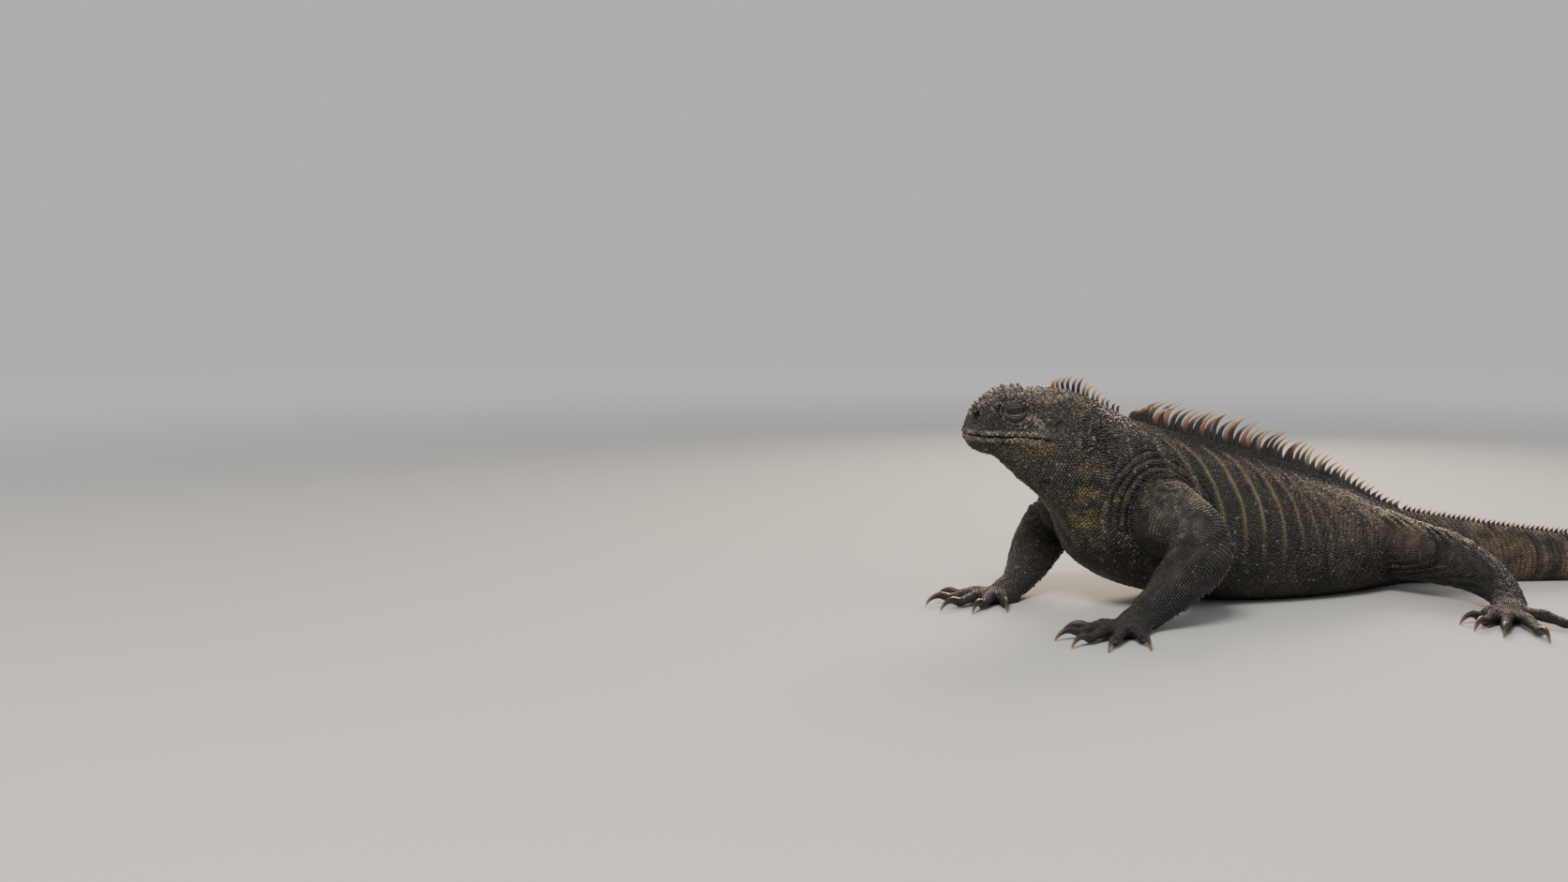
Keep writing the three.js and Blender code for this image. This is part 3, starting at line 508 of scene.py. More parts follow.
def markings(p, colours):
    """The skin's colour at points in millimetres, with painted shade in its creases, folds, grooves and
    pits and low on the body, a painted highlight on the rib crests, and painted warm light mixed into the
    upper flank's own warm tone.
    """
    x, y, z = p.T
    charcoal, brown, warm, olive, pale = (np.array(c) for c in colours)
    blotch = noise(p, 26, 1) * 0.5 + noise(p, 7, 2) * 0.5
    colour = mixed(np.tile(charcoal, (len(p), 1)), brown, smoothstep(blotch, 0.32, 0.72))
    top, bottom = top_at(x)
    drop = top - z
    down = drop / (top - bottom)
    # Warm patches on the upper flank: partly the skin's own warm tone, partly painted warm light falling on
    # the upper flank
    upper = (1 - smoothstep(down, 0.3, 0.7)) * smoothstep(drop, 9, 17)
    back = smoothstep(x, -120, -50) * upper * (0.55 + 0.45 * smoothstep(x, -10, 70))
    colour = mixed(colour, warm, 0.8 * back * smoothstep(noise(p * (1, 1, 0.4), 7, 7), 0.25, 0.8))
    tail = smoothstep(x, 120, 190)
    bands = noise(p * (1, 0.25, 0.25), 6, 8) * 0.6 + noise(p, 16, 21) * 0.4
    colour = mixed(colour, warm * 1.1, 0.85 * tail * smoothstep(bands, 0.3, 0.75))
    # Painted shade in the grooves between the tail's rings
    colour = colour * (1 - 0.35 * tail * (0.5 - 0.5 * np.cos(2 * np.pi * x / TAIL_RING)))[:, None]
    crest, folded = rib_fold(p)
    # Painted shade in the folds between the rib crests, and a warm painted highlight on the crests
    colour = mixed(colour, charcoal * 0.7, 0.6 * folded * (1 - crest))
    colour = mixed(colour, warm * 1.1 + olive * 0.3, 0.8 * crest ** 1.5)
    nape = (1 - smoothstep(x, -150, -105)) * smoothstep(z, 70, 105)
    flecks = smoothstep(noise(p * (1, 1, 0.45), 2.6, 22), 0.66, 0.84)
    colour = mixed(colour, (pale + warm) / 2, 0.3 * nape * flecks)
    lichen = smoothstep(noise(p, 22, 9), 0.55, 0.72) * smoothstep(noise(p, 4, 4), 0.45, 0.7)
    colour = mixed(colour, olive, 0.33 * smoothstep(-x, 95, 130) * smoothstep(z, 50, 85) * lichen)
    throat = np.exp(-(((x + 226) / 17) ** 2 + ((z - 78) / 28) ** 2))
    colour = mixed(colour, olive, 0.8 * throat * smoothstep(noise(p, 9, 6), 0.4, 0.7))
    arm = np.exp(-(((x + 160) / 27) ** 2 + ((np.abs(y) - 76) / 22) ** 2 + ((z - 80) / 22) ** 2))
    colour = mixed(colour, pale, 0.4 * arm * smoothstep(noise(p, 8, 10), 0.56, 0.74))
    speck = smoothstep(noise(p, 2.2, 23), 0.78, 0.9) * (1 - tail)
    colour = mixed(colour, pale, 0.3 * speck)
    f, l, u = head_place(p)
    face = smoothstep(f, -16, 0)
    colour = mixed(colour, charcoal * 1.2 + brown * 0.45, 0.65 * face)
    crown = face * smoothstep(u, 6, 13)
    colour = mixed(colour, warm, 0.55 * crown * smoothstep(noise(p, 5, 24), 0.4, 0.75))
    cheek = face * np.exp(-(((f - 19) / 13) ** 2 + ((u + 7) / 6) ** 2))
    colour = mixed(colour, pale, 0.8 * cheek * smoothstep(noise(p, 3, 11), 0.52, 0.72))
    colour = mixed(colour, pale, 0.22 * face * smoothstep(noise(p, 2.4, 25), 0.7, 0.86))
    jowl = face * np.exp(-(((f - 16) / 14) ** 2 + ((u + 26) / 6) ** 2))
    colour = mixed(colour, olive * 0.8, 0.7 * jowl * smoothstep(noise(p, 6, 26), 0.35, 0.7))
    gap = mouth_gap(f, u)
    lip = face * smoothstep(f, MOUTH_END, MOUTH_END + 8) * np.exp(-(((np.abs(gap) - 2.8) / 2.0) ** 2))
    colour = mixed(colour, pale * 0.6 + olive * 0.25, 0.6 * lip * smoothstep(noise(p, 4, 27), 0.2, 0.75))
    # Painted shade: near black in the groove of the mouth line and in the nostril pits
    line = face * smoothstep(f, MOUTH_END - 4, MOUTH_END + 2) * np.exp(-((gap / 0.9) ** 2))
    nostril_shade = np.exp(-((from_nostril(f, l, u) / 3.2) ** 4))
    colour = mixed(colour, charcoal * 0.2, np.maximum(line, nostril_shade))
    limb = smoothstep(np.abs(y), 84, 100) * (1 - smoothstep(z, 40, 62))
    colour = mixed(colour, charcoal * 1.1, 0.6 * limb)
    keel = (1 - smoothstep(drop, 6, 13)) * smoothstep(x, -130, -110) * (1 - tail)
    colour = mixed(colour, charcoal * 0.8, 0.8 * keel)
    # Painted shade low on the body, near the ground
    belly = (1 - smoothstep(z, 4, 26)) * (1 - tail)
    colour = mixed(colour, charcoal, 0.4 * belly)
    # Painted shade in the creases round the roots of the forelegs and hind legs
    crease_shade = np.exp(-(((round_root(p, SHOULDER) - 32) / 3.2) ** 2)) * smoothstep(z, 30, 60)
    crease_shade += np.exp(-(((round_root(p, HIP) - 27) / 3.0) ** 2)) * smoothstep(z, 12, 26)
    return 0.88 * mixed(colour, charcoal * 0.5, 0.75 * crease_shade)


def skin_material(name, roughness, grain, strength):
    """A material that takes its colour from the markings, broken up by fine noise."""
    material = bpy.data.materials.new(name)
    material.use_nodes = True
    nodes, links = material.node_tree.nodes, material.node_tree.links
    shader = nodes["Principled BSDF"]
    place = nodes.new("ShaderNodeTexCoord")
    tint = nodes.new("ShaderNodeAttribute")
    tint.attribute_name = "tint"
    speckle = nodes.new("ShaderNodeTexNoise")
    speckle.inputs["Scale"].default_value = grain
    speckle.inputs["Detail"].default_value = 3
    ramp = nodes.new("ShaderNodeValToRGB")
    ramp.color_ramp.elements[0].position = 0.3
    ramp.color_ramp.elements[0].color = (0.72, 0.72, 0.74, 1)
    ramp.color_ramp.elements[1].position = 0.7
    ramp.color_ramp.elements[1].color = (1.2, 1.18, 1.12, 1)
    mix = nodes.new("ShaderNodeMix")
    mix.data_type = "RGBA"
    mix.blend_type = "MULTIPLY"
    mix.inputs["Factor"].default_value = 1
    bump = nodes.new("ShaderNodeBump")
    bump.inputs["Strength"].default_value = strength
    bump.inputs["Distance"].default_value = 0.4 * MM
    links.new(place.outputs["Object"], speckle.inputs["Vector"])
    links.new(speckle.outputs["Fac"], ramp.inputs["Fac"])
    # The colour sockets of a mix node are inputs 6 and 7 and output 2.
    links.new(tint.outputs["Color"], mix.inputs[6])
    links.new(ramp.outputs["Color"], mix.inputs[7])
    links.new(mix.outputs[2], shader.inputs["Base Color"])
    links.new(speckle.outputs["Fac"], bump.inputs["Height"])
    links.new(bump.outputs["Normal"], shader.inputs["Normal"])
    shader.inputs["Roughness"].default_value = roughness
    shader.inputs["Specular IOR Level"].default_value = 0.34
    return material


def dress(obj, material, slot="skin", *nodes):
    """Gives a piece its material, hangs it from the root, and hides the solids that it replaces."""
    obj.data.materials.append(material)
    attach(obj, "root")
    if nodes:
        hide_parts(*nodes)


def shared_material(name, roughness, grain=900, strength=0.3):
    return bpy.data.materials.get(name) or skin_material(name, roughness, grain, strength)


def palette():
    c = bpy.context.scene.iguana_colours
    return [c.charcoal, c.brown, c.warm, c.olive, c.pale]


def skin_tree():
    """The finished skin as a search tree in metres."""
    skin = bpy.data.objects["skin"]
    return BVHTree.FromObject(skin, bpy.context.evaluated_depsgraph_get())


# Scales
def scale_rows(grid, spacing, stretch=0.87, end=1.0):
    """Roots of rows of scales over a grid, every other row half a step on, with their lie and place."""
    length = np.concatenate([[0], np.cumsum(np.linalg.norm(np.diff(grid, axis=0), axis=2).mean(1))])
    rows = np.arange(spacing / 2, length[-1] * end, spacing * stretch)
    index = np.interp(rows, length, np.arange(len(grid)))
    points, lies, places = [], [], []
    around = grid.shape[1]
    for k, r in enumerate(index):
        i = min(int(r), len(grid) - 2)
        ring = grid[i] + (grid[i + 1] - grid[i]) * (r - i)
        step = grid[i + 1] - grid[i]
        closed = np.concatenate([ring, ring[:1]])
        run = np.concatenate([[0], np.cumsum(np.linalg.norm(np.diff(closed, axis=0), axis=1))])
        count = max(5, round(run[-1] / spacing))
        at = (np.arange(count) + 0.5 * (k % 2) + 0.25) / count * run[-1] % run[-1]
        turn = np.interp(at, run, np.arange(around + 1))
        points.append(np.stack([np.interp(at, run, closed[:, c]) for c in range(3)], -1))
        lies.append(step[np.minimum(turn.astype(int), around - 1)])
        places.append(np.stack([np.full(count, r / len(grid)), turn / around], -1))
    return np.concatenate(points), unit(np.concatenate(lies)), np.concatenate(places)


def dome_template(sides, rings):
    """Unit scale: rings of (radius, height) and an apex, leaning back a little."""
    a = 2 * np.pi * np.arange(sides) / sides
    vertices = []
    for radius, height in rings:
        lean = 0.22 * max(0, height)
        vertices.append(np.stack([radius * np.cos(a) * 1.1 + lean, radius * np.sin(a), 0 * a + height], -1))
    top = rings[-1][1] + 0.28
    vertices.append(np.array([[0.35 * top, 0, top]]))
    faces = []
    for r in range(len(rings) - 1):
        for i in range(sides):
            j = (i + 1) % sides
            p, q = r * sides, (r + 1) * sides
            faces += [(p + i, p + j, q + j), (p + i, q + j, q + i)]
    last = (len(rings) - 1) * sides
    faces += [(last + i, last + (i + 1) % sides, len(rings) * sides) for i in range(sides)]
    # The height of each vertex, by which the coat paints shade at a scale's base and a highlight at its
    # apex
    shade = np.repeat([r[1] for r in rings], sides).tolist() + [top]
    return np.concatenate(vertices), np.array(faces), np.array(shade)


ROOM = 0.66             # the least distance between scales, in their own spacing
HALF_WIDTH = 0.58       # half the width of a scale, in its spacing
PATCH = 0.0015          # half the patch of a scale on its map
CELL = 2.5              # boxes in which a scale's neighbours are looked up, in millimetres
COAT_LIMIT = 195000     # triangles in one mesh of the coat
SCALE_SEED = 5
EDGE_SPACING = 3.3      # the large scales on the back edge of the forearms
NECK_SPACING = 2.8      # the pointed scales scattered over the neck
LIP_SPACING = 2.7
SOLE_SPACING = 1.15     # the scales of sole and ankle, in the spacing of those on the toes
# Where the face is bare, in millimetres from the middle of eye, nostril and ear and the mouth's line
BARE_EYE = 8.6
BARE_NOSTRIL = 3.8
BARE_EAR = 5.2
BARE_MOUTH = 0.9
SMALL_SCALE = dome_template(5, [(1, -0.35), (0.68, 0.62)])
PLATE = dome_template(8, [(1, -0.4), (0.9, 0.3), (0.55, 0.85)])
CONE = dome_template(7, [(1, -0.4), (0.82, 0.25), (0.36, 0.95)])


class Coat:
    """Scales gathered from several parts of the body, kept clear of each other."""

    def __init__(self, tree, rng):
        self.tree = tree
        self.rng = rng
        self.taken = {}
        self.batches = {}

    def key(self, p):
        return tuple(int(math.floor(c / CELL)) for c in p)

    def crowded(self, p, reach):
        """Whether a scale already stands closer to p than the smaller of the two allows."""
        key = self.key(p)
        span = range(-1, 2)
        for dx in span:
            for dy in span:
                for dz in span:
                    for q, other in self.taken.get((key[0] + dx, key[1] + dy, key[2] + dz), ()):
                        gap = min(reach, other)
                        if (p[0] - q[0]) ** 2 + (p[1] - q[1]) ** 2 + (p[2] - q[2]) ** 2 < gap * gap:
                            return True
        return False

    def add(self, region, grid, size, chart, reach=4.5, keep=None, height=0.5, template=SMALL_SCALE,
            jitter=0.12, spread=0.12, tip=0.0):
        """Covers a grid with scales of that size where the skin lies within reach of it."""
        points, lies, places = scale_rows(grid, size)
        points = points + self.rng.normal(0, jitter * size * 0.5, points.shape)
        near = [self.tree.find_nearest(Vector(p * MM)) for p in points]
        on = np.array([n[3] is not None and n[3] < reach * MM for n in near])
        roots = np.array([n[0] for n in near]) / MM
        normals = np.array([n[1] for n in near])
        if keep is not None:
            on &= keep(roots, normals)
        on &= roots[:, 2] > ROOT_CLEAR
        chosen = []
        for i in np.flatnonzero(on):
            p = tuple(roots[i])
            if not self.crowded(p, ROOM * size):
                chosen.append(i)
        for i in chosen:
            p = tuple(roots[i])
            self.taken.setdefault(self.key(p), []).append((p, ROOM * size))
        places = places[chosen]
        u0, v0, u1, v1 = chart
        uv = np.stack([u0 + (u1 - u0) * places[:, 0], v0 + (v1 - v0) * places[:, 1]], -1)
        scale = size * HALF_WIDTH * self.rng.uniform(1 - spread, 1 + spread, len(chosen))
        high = height * self.rng.uniform(1 - spread, 1 + spread, len(chosen))
        tips = tip * self.rng.uniform(0, 1, len(chosen)) ** 1.5
        batch = (roots[chosen], normals[chosen], lies[chosen], scale, high, tips, uv)
        self.batches.setdefault((region, id(template)), (template, []))[1].append(batch)

    def build(self, colours, material):
        """Joins the gathered scales of each region into meshes below the limit of triangles."""
        for number, ((region, _), (template, batches)) in enumerate(self.batches.items()):
            columns = [np.concatenate(column) for column in zip(*batches)]
            most = COAT_LIMIT // len(template[1])
            for part, start in enumerate(range(0, len(columns[0]), most)):
                name = f"scales_{region}_{number + 1}_{part + 1}"
                rows = (column[start:start + most] for column in columns)
                dress(self.mesh(name, template, colours, *rows), material)

    def mesh(self, name, template, colours, roots, normals, lies, scale, height, tips, uv):
        """One mesh of scales, each with the colour of the skin at its root, with painted shade at its base
        and a painted highlight at its apex.
        """
        shape, faces, shade = template
        x = unit(lies - normals * np.sum(lies * normals, axis=1, keepdims=True))
        y = np.cross(normals, x)
        s = scale[:, None, None]
        local = shape[None] * s
        points = (roots[:, None] + local[..., :1] * x[:, None] + local[..., 1:2] * y[:, None]
                  + local[..., 2:] * height[:, None, None] / 0.5 * normals[:, None])
        points[..., 2] = np.maximum(points[..., 2], SCALE_CLEAR)
        base = markings(roots, colours)
        tone = self.rng.uniform(0.65, 1.4, (len(roots), 1))
        # Painted shade and highlight: darker at the base of each scale, where it meets its neighbours, and
        # lighter towards its apex
        bright = 0.5 + 0.85 * np.clip(shade, 0, 1)
        tint = (base * tone)[:, None] * bright[None, :, None]
        ends = tips[:, None] * np.clip(shade, 0, 1)[None] ** 3
        tint = tint + ends[..., None] * (np.array(colours[4]) + np.array(colours[2]))
        patch = uv[:, None] + shape[None, :, :2] * PATCH
        index = faces[None] + (np.arange(len(roots)) * len(shape))[:, None, None]
        return mesh_object(name, points.reshape(-1, 3), index.reshape(-1, 3), tint.reshape(-1, 3),
                           patch.reshape(-1, 2))


def length(name, description, default):
    return bpy.props.FloatProperty(name=name, description=description, unit="LENGTH", default=default)


def number(name, description, default):
    return bpy.props.IntProperty(name=name, description=description, default=default)


class IguanaSizes(bpy.types.PropertyGroup):
    voxel: length("Skin grid", "Size of the skin's faces", 0.0017)
    smoothing: number("Smoothing", "Rounds of smoothing of the skin", 7)
    coat_depth: length("Coat depth", "How far the skin lies below the coat", 0.0005)
    rib_fold: length("Rib folds", "Height of the folds behind the shoulder", 0.0038)
    body_scale: length("Body scales", "Spacing of the scales on the trunk", 0.0024)
    tail_scale: length("Tail scales", "Spacing of the scales on the tail", 0.0026)
    leg_scale: length("Leg scales", "Spacing of the scales on the legs", 0.0023)
    foot_scale: length("Foot scales", "Spacing of the scales on feet and toes", 0.0018)
    face_scale: length("Face scales", "Spacing of the scales on the face", 0.0019)
    eye_radius: length("Eye radius", "Radius of the eyeballs", 0.008)
    claw_length: length("Claw length", "Length of each claw from its root", 0.019)


class IguanaCrest(bpy.types.PropertyGroup):
    dorsal_height: length("Back spines", "Height of the tallest back spine", 0.024)
    dorsal_spacing: length("Back spacing", "Distance between back spines", 0.0064)
    nape_height: length("Nape spines", "Height of the tallest nape spine", 0.015)
    nape_count: number("Nape count", "Spines on the nape", 14)
    tail_height: length("Tail spines", "Height of the first tail spines", 0.005)
    tail_spacing: length("Tail spacing", "Distance between tail spines", 0.0046)


def colour(name, description, default):
    return bpy.props.FloatVectorProperty(name=name, description=description, subtype="COLOR", size=3,
                                         min=0, max=1, default=default)


class IguanaColours(bpy.types.PropertyGroup):
    charcoal: colour("Charcoal", "Darkest skin", (0.013, 0.0125, 0.012))
    brown: colour("Brown", "Lighter blotches", (0.040, 0.034, 0.028))
    warm: colour("Warm", "Upper flank, crown and tail", (0.125, 0.090, 0.058))
    olive: colour("Olive", "Yellow green patches", (0.150, 0.130, 0.045))
    pale: colour("Pale", "Pale scales of the face and arms", (0.270, 0.252, 0.215))
    spine_root: colour("Spine root", "Root of the spines", (0.012, 0.010, 0.009))
    spine_edge: colour("Spine edge", "Upper part of the spines", (0.150, 0.078, 0.036))
    spine_tip: colour("Spine tip", "Tips of the spines", (0.420, 0.290, 0.165))
    claw: colour("Claw", "Horn of the claws", (0.030, 0.022, 0.016))


class IGUANA_OT_skin(bpy.types.Operator):
    """One skin over head, neck, trunk, legs and tail, with its folds"""
    bl_idname = "iguana.skin"
    bl_label = "Skin"

    def execute(self, context):
        sizes = context.scene.iguana_sizes
        grids = [body_grid(0, 20)[::2, ::2], head_grid()[::2, ::2]]
        for leg, rows in LEGS.items():
            grids.append(tube(rows, 36, 40))
            solid, toes = foot_surfaces(leg)
            grids += solid + toes
        vertices, quads, caps, offset = [], [], [], 0
        for grid in grids:
            v, q, c = shell(grid, offset)
            vertices.append(v)
            quads.append(q)
            caps.append(c)
            offset += len(v)
        mesh = bpy.data.meshes.new("skin")
        every = np.concatenate(quads).tolist() + np.concatenate(caps).tolist()
        mesh.from_pydata((np.concatenate(vertices) * MM).tolist(), [], every)
        obj = bpy.data.objects.new("skin", mesh)
        context.scene.collection.objects.link(obj)
        self.cleaned(obj)
        remesh = obj.modifiers.new("one skin", "REMESH")
        remesh.mode = "VOXEL"
        remesh.voxel_size = sizes.voxel
        smooth = obj.modifiers.new("smooth", "SMOOTH")
        smooth.factor = 0.5
        smooth.iterations = sizes.smoothing
        self.bake(context, obj)
        self.refine(obj)
        self.shape(obj, sizes)
        mesh = obj.data
        # The skin's colour, darkened as painted shade where it shows between the scales
        paint(mesh, SKIN_SHADE_BETWEEN_SCALES * markings(places_and_normals(mesh)[0], palette()))
        mesh.polygons.foreach_set("use_smooth", np.ones(len(mesh.polygons), bool))
        dress(obj, shared_material("hide", 0.55), "skin", *FLESH)
        return {"FINISHED"}

    def cleaned(self, obj):
        work = bmesh.new()
        work.from_mesh(obj.data)
        bmesh.ops.recalc_face_normals(work, faces=work.faces)
        work.to_mesh(obj.data)
        work.free()

    def bake(self, context, obj):
        """Applies the modifiers."""
        made = bpy.data.meshes.new_from_object(obj.evaluated_get(context.evaluated_depsgraph_get()))
        obj.modifiers.clear()
        obj.data = made

    def refine(self, obj):
        """Smaller faces where the head, neck and ribs have their folds."""
        centres = np.empty(3 * len(obj.data.polygons))
        obj.data.polygons.foreach_get("center", centres)
        p = centres.reshape(-1, 3) / MM
        f, _, u = head_place(p)
        folded = (p[:, 0] > -160) & (p[:, 0] < 30) & (p[:, 2] > 40) & (np.abs(p[:, 1]) < 70)
        fine = ((f > -30) & (u > -45)) | folded
        work = bmesh.new()
        work.from_mesh(obj.data)
        work.faces.ensure_lookup_table()
        wanted = {edge for k in np.flatnonzero(fine) for edge in work.faces[k].edges}
        bmesh.ops.subdivide_edges(work, edges=list(wanted), cuts=1, use_grid_fill=True, smooth=0)
        bmesh.ops.triangulate(work, faces=[f for f in work.faces if len(f.verts) > 4])
        work.to_mesh(obj.data)
        work.free()

    def shape(self, obj, sizes):
        """Pushes the skin out to its folds, and flattens it on the ground."""
        mesh = obj.data
        p, n = places_and_normals(mesh)
        out = sizes.rib_fold / MM * rib_fold(p)[0] + fine_folds(p) * smoothstep(p[:, 2], 6, 20)
        f, _, u = head_place(p)
        face = smoothstep(f, -18, -4) * smoothstep(u, -60, -40)
        out = out * (1 - face) + head_relief(p) * face - sizes.coat_depth / MM
        p = p + n * out[:, None]
        p[:, 2] = np.maximum(p[:, 2], SKIN_CLEAR)
        mesh.vertices.foreach_set("co", (p * MM).ravel())
        mesh.update()


class IGUANA_OT_scales(bpy.types.Operator):
    """Scales over the whole skin, in rows that follow the body, smallest on face and feet"""
    bl_idname = "iguana.scales"
    bl_label = "Scales"

    def execute(self, context):
        sizes = context.scene.iguana_sizes
        coat = Coat(skin_tree(), np.random.default_rng(SCALE_SEED))
        self.head(coat, sizes)
        self.feet(coat, sizes)
        size = sizes.leg_scale / MM
        for k, rows in enumerate(LEGS.values()):
            grid = tube(rows, 90, 72)
            chart = (0.8, 0.1 * k, 1.0, 0.1 * k + 0.09)
            coat.add("legs", grid, EDGE_SPACING, chart, keep=self.hind_edge, height=0.62,
                     template=CONE, tip=0.3)
            coat.add("legs", grid, size, chart, height=0.42)
        clear = lambda p, n: ~self.bare(p)
        coat.add("neck", body_grid(0.3, 4.2), NECK_SPACING, (0, 0, 0.3, 1), keep=self.rough_neck,
                 height=0.46, template=CONE, jitter=0.4, spread=0.3, tip=0.06)
        coat.add("trunk", body_grid(0.2, 11.6), sizes.body_scale / MM, (0, 0, 0.6, 1), keep=clear,
                 height=0.45, jitter=0.24, spread=0.2)
        coat.add("tail", body_grid(11.5, 20), sizes.tail_scale / MM, (0.61, 0, 0.79, 1),
                 height=0.4, jitter=0.04)
        coat.build(palette(), shared_material("scale", 0.42))
        return {"FINISHED"}

    def hind_edge(self, roots, normals):
        """The back edge of the forearms, with its larger pointed scales."""
        fore = (roots[:, 0] < 0) & (np.abs(roots[:, 1]) > 60)
        return fore & (normals[:, 0] > 0.45) & (roots[:, 2] < 66) & (roots[:, 2] > 9)

    def rough_neck(self, roots, normals):
        """Where the neck has larger pointed scales, scattered between the small ones."""
        x, _, z = roots.T
        f = head_place(roots)[0]
        place = (1 - smoothstep(x, -182, -158)) * smoothstep(z, 112, 128) * (1 - smoothstep(f, -12, -4))
        return (noise(roots, 4, 31) * place > 0.5) & ~self.bare(roots)

    def bare(self, roots):
        """Where the face has no scales: eyes, nostrils, ears and the line of the mouth."""
        f, l, u = head_place(roots)
        eye = np.hypot((f - EYE[0]) / 1.1, u - EYE[2]) < BARE_EYE
        nostril = from_nostril(f, l, u) < BARE_NOSTRIL
        ear = from_ear(f, u) < BARE_EAR
        side = np.abs(l) > 12
        mouth = (np.abs(mouth_gap(f, u)) < BARE_MOUTH) & (f > 2)
        return (eye & side) | nostril | (ear & side) | mouth

    def head(self, coat, sizes):
        """Cones on snout, crown and brows, plates along the lips and small scales over the rest."""
        grid = head_grid(120, 160)
        lips = lambda p, n: self.on_lips(p) & ~self.bare(p)
        crown = lambda p, n: self.on_crown(p) & ~self.bare(p)
        brow = lambda p, n: self.near_crown(p) & ~self.bare(p)
        face = lambda p, n: ~self.bare(p) & (head_place(p)[0] > -10)
        snout = lambda p, n: crown(p, n) & (head_place(p)[0] > 26)
        for spacing, keep, height, spread, tip in ((4.4, snout, 0.62, 0.28, 0.3),
                                                   (4.9, crown, 0.32, 0.28, 0.16),
                                                   (3.0, brow, 0.42, 0.25, 0.16)):
            coat.add("head", grid, spacing, (0.8, 0.4, 1, 0.5), keep=keep, height=height, template=CONE,
                     jitter=0.4, spread=spread, tip=tip)
        coat.add("head", grid, LIP_SPACING, (0.8, 0.5, 1, 0.6), keep=lips, height=0.42, template=PLATE,
                 jitter=0.08)
        coat.add("head", grid, sizes.face_scale / MM, (0.8, 0.6, 1, 0.8), keep=face, height=0.5,
                 jitter=0.35, spread=0.25, tip=0.05)

    def near_crown(self, p):
        """The brows and what lies above them."""
        f, _, u = head_place(p)
        return (u > 5 - 0.3 * np.maximum(0, f - 45)) & (f > -16)

    def on_crown(self, p):
        """The top of the head, up to the snout."""
        f, _, u = head_place(p)
        return (u > 9 - 0.25 * np.maximum(0, f - 45)) & (f > -8)

    def on_lips(self, p):
        """A row of scales above and one below the line of the mouth."""
        f, _, u = head_place(p)
        return (np.abs(np.abs(mouth_gap(f, u)) - 2.7) < 1.3) & (f > 8)

    def feet(self, coat, sizes):
        size = sizes.foot_scale / MM
        for k, leg in enumerate(LEGS):
            solid, toes = foot_surfaces(leg)
            low, high = 0.8 + 0.05 * k, 0.84 + 0.05 * k
            for toe in toes:
                coat.add("feet", toe, size, (0.8, low, 0.9, high), height=0.42, reach=2)
            for grid in solid:
                coat.add("feet", grid, size * SOLE_SPACING, (0.9, low, 1, high), height=0.42, reach=3)


def blade(root, up, back, across, height, long, thick, curl, lean, sides=8, rings=9):
    """Vertices, faces and height share of one curved, flattened, tapering spine."""
    a = 2 * np.pi * np.arange(sides) / sides
    share = np.linspace(-0.12, 1, rings)
    points, level = [], []
    for s in share:
        w = np.clip(s, 0, 1)
        behind = lean * w ** 2.2 - curl * math.sin(3.1 * w) * 0.12
        at = root + up * (height * s) + back * (height * behind)
        taper = 1.06 - 0.86 * w ** 1.35
        at = at[None] + back * (long / 2 * taper * np.cos(a))[:, None]
        points.append(at + across * (thick / 2 * max(taper, 0.22) * np.sin(a))[:, None])
        level += [w] * sides
    points.append(points[-1].mean(0)[None] + up * 0.3)
    level.append(1)
    faces = []
    for r in range(rings - 1):
        for i in range(sides):
            j = (i + 1) % sides
            p, q = r * sides, (r + 1) * sides
            faces += [(p + i, p + j, q + j), (p + i, q + j, q + i)]
    last = (rings - 1) * sides
    faces += [(last + i, last + (i + 1) % sides, last + sides) for i in range(sides)]
    return np.concatenate(points), np.array(faces), np.array(level)


def join(parts):
    """Joins lists of vertices, triangles and a value per vertex."""
    vertices, faces, values, offset = [], [], [], 0
    for v, f, value in parts:
        vertices.append(v)
        faces.append(f + offset)
        values.append(value)
        offset += len(v)
    return np.concatenate(vertices), np.concatenate(faces), np.concatenate(values)


# Where the crest's stretches start and how far they run, in sections of the body, and their spines:
# length along the back, thickness, curl and lean backwards, and how far they turn upright.
NAPE = {"from": 1.15, "run": 2.25, "shape": (3.8, 2.2, (1.3, 0.22), 0.8)}
BACK = {"from": 3.75, "run": 7.35, "shape": (6.8, 2.6, (0.9, 0.62), 0.3)}
TAIL = {"from": 11.15, "run": 8.45, "length": 4.2, "thick": 1.7}
SPINE_SEED = 11


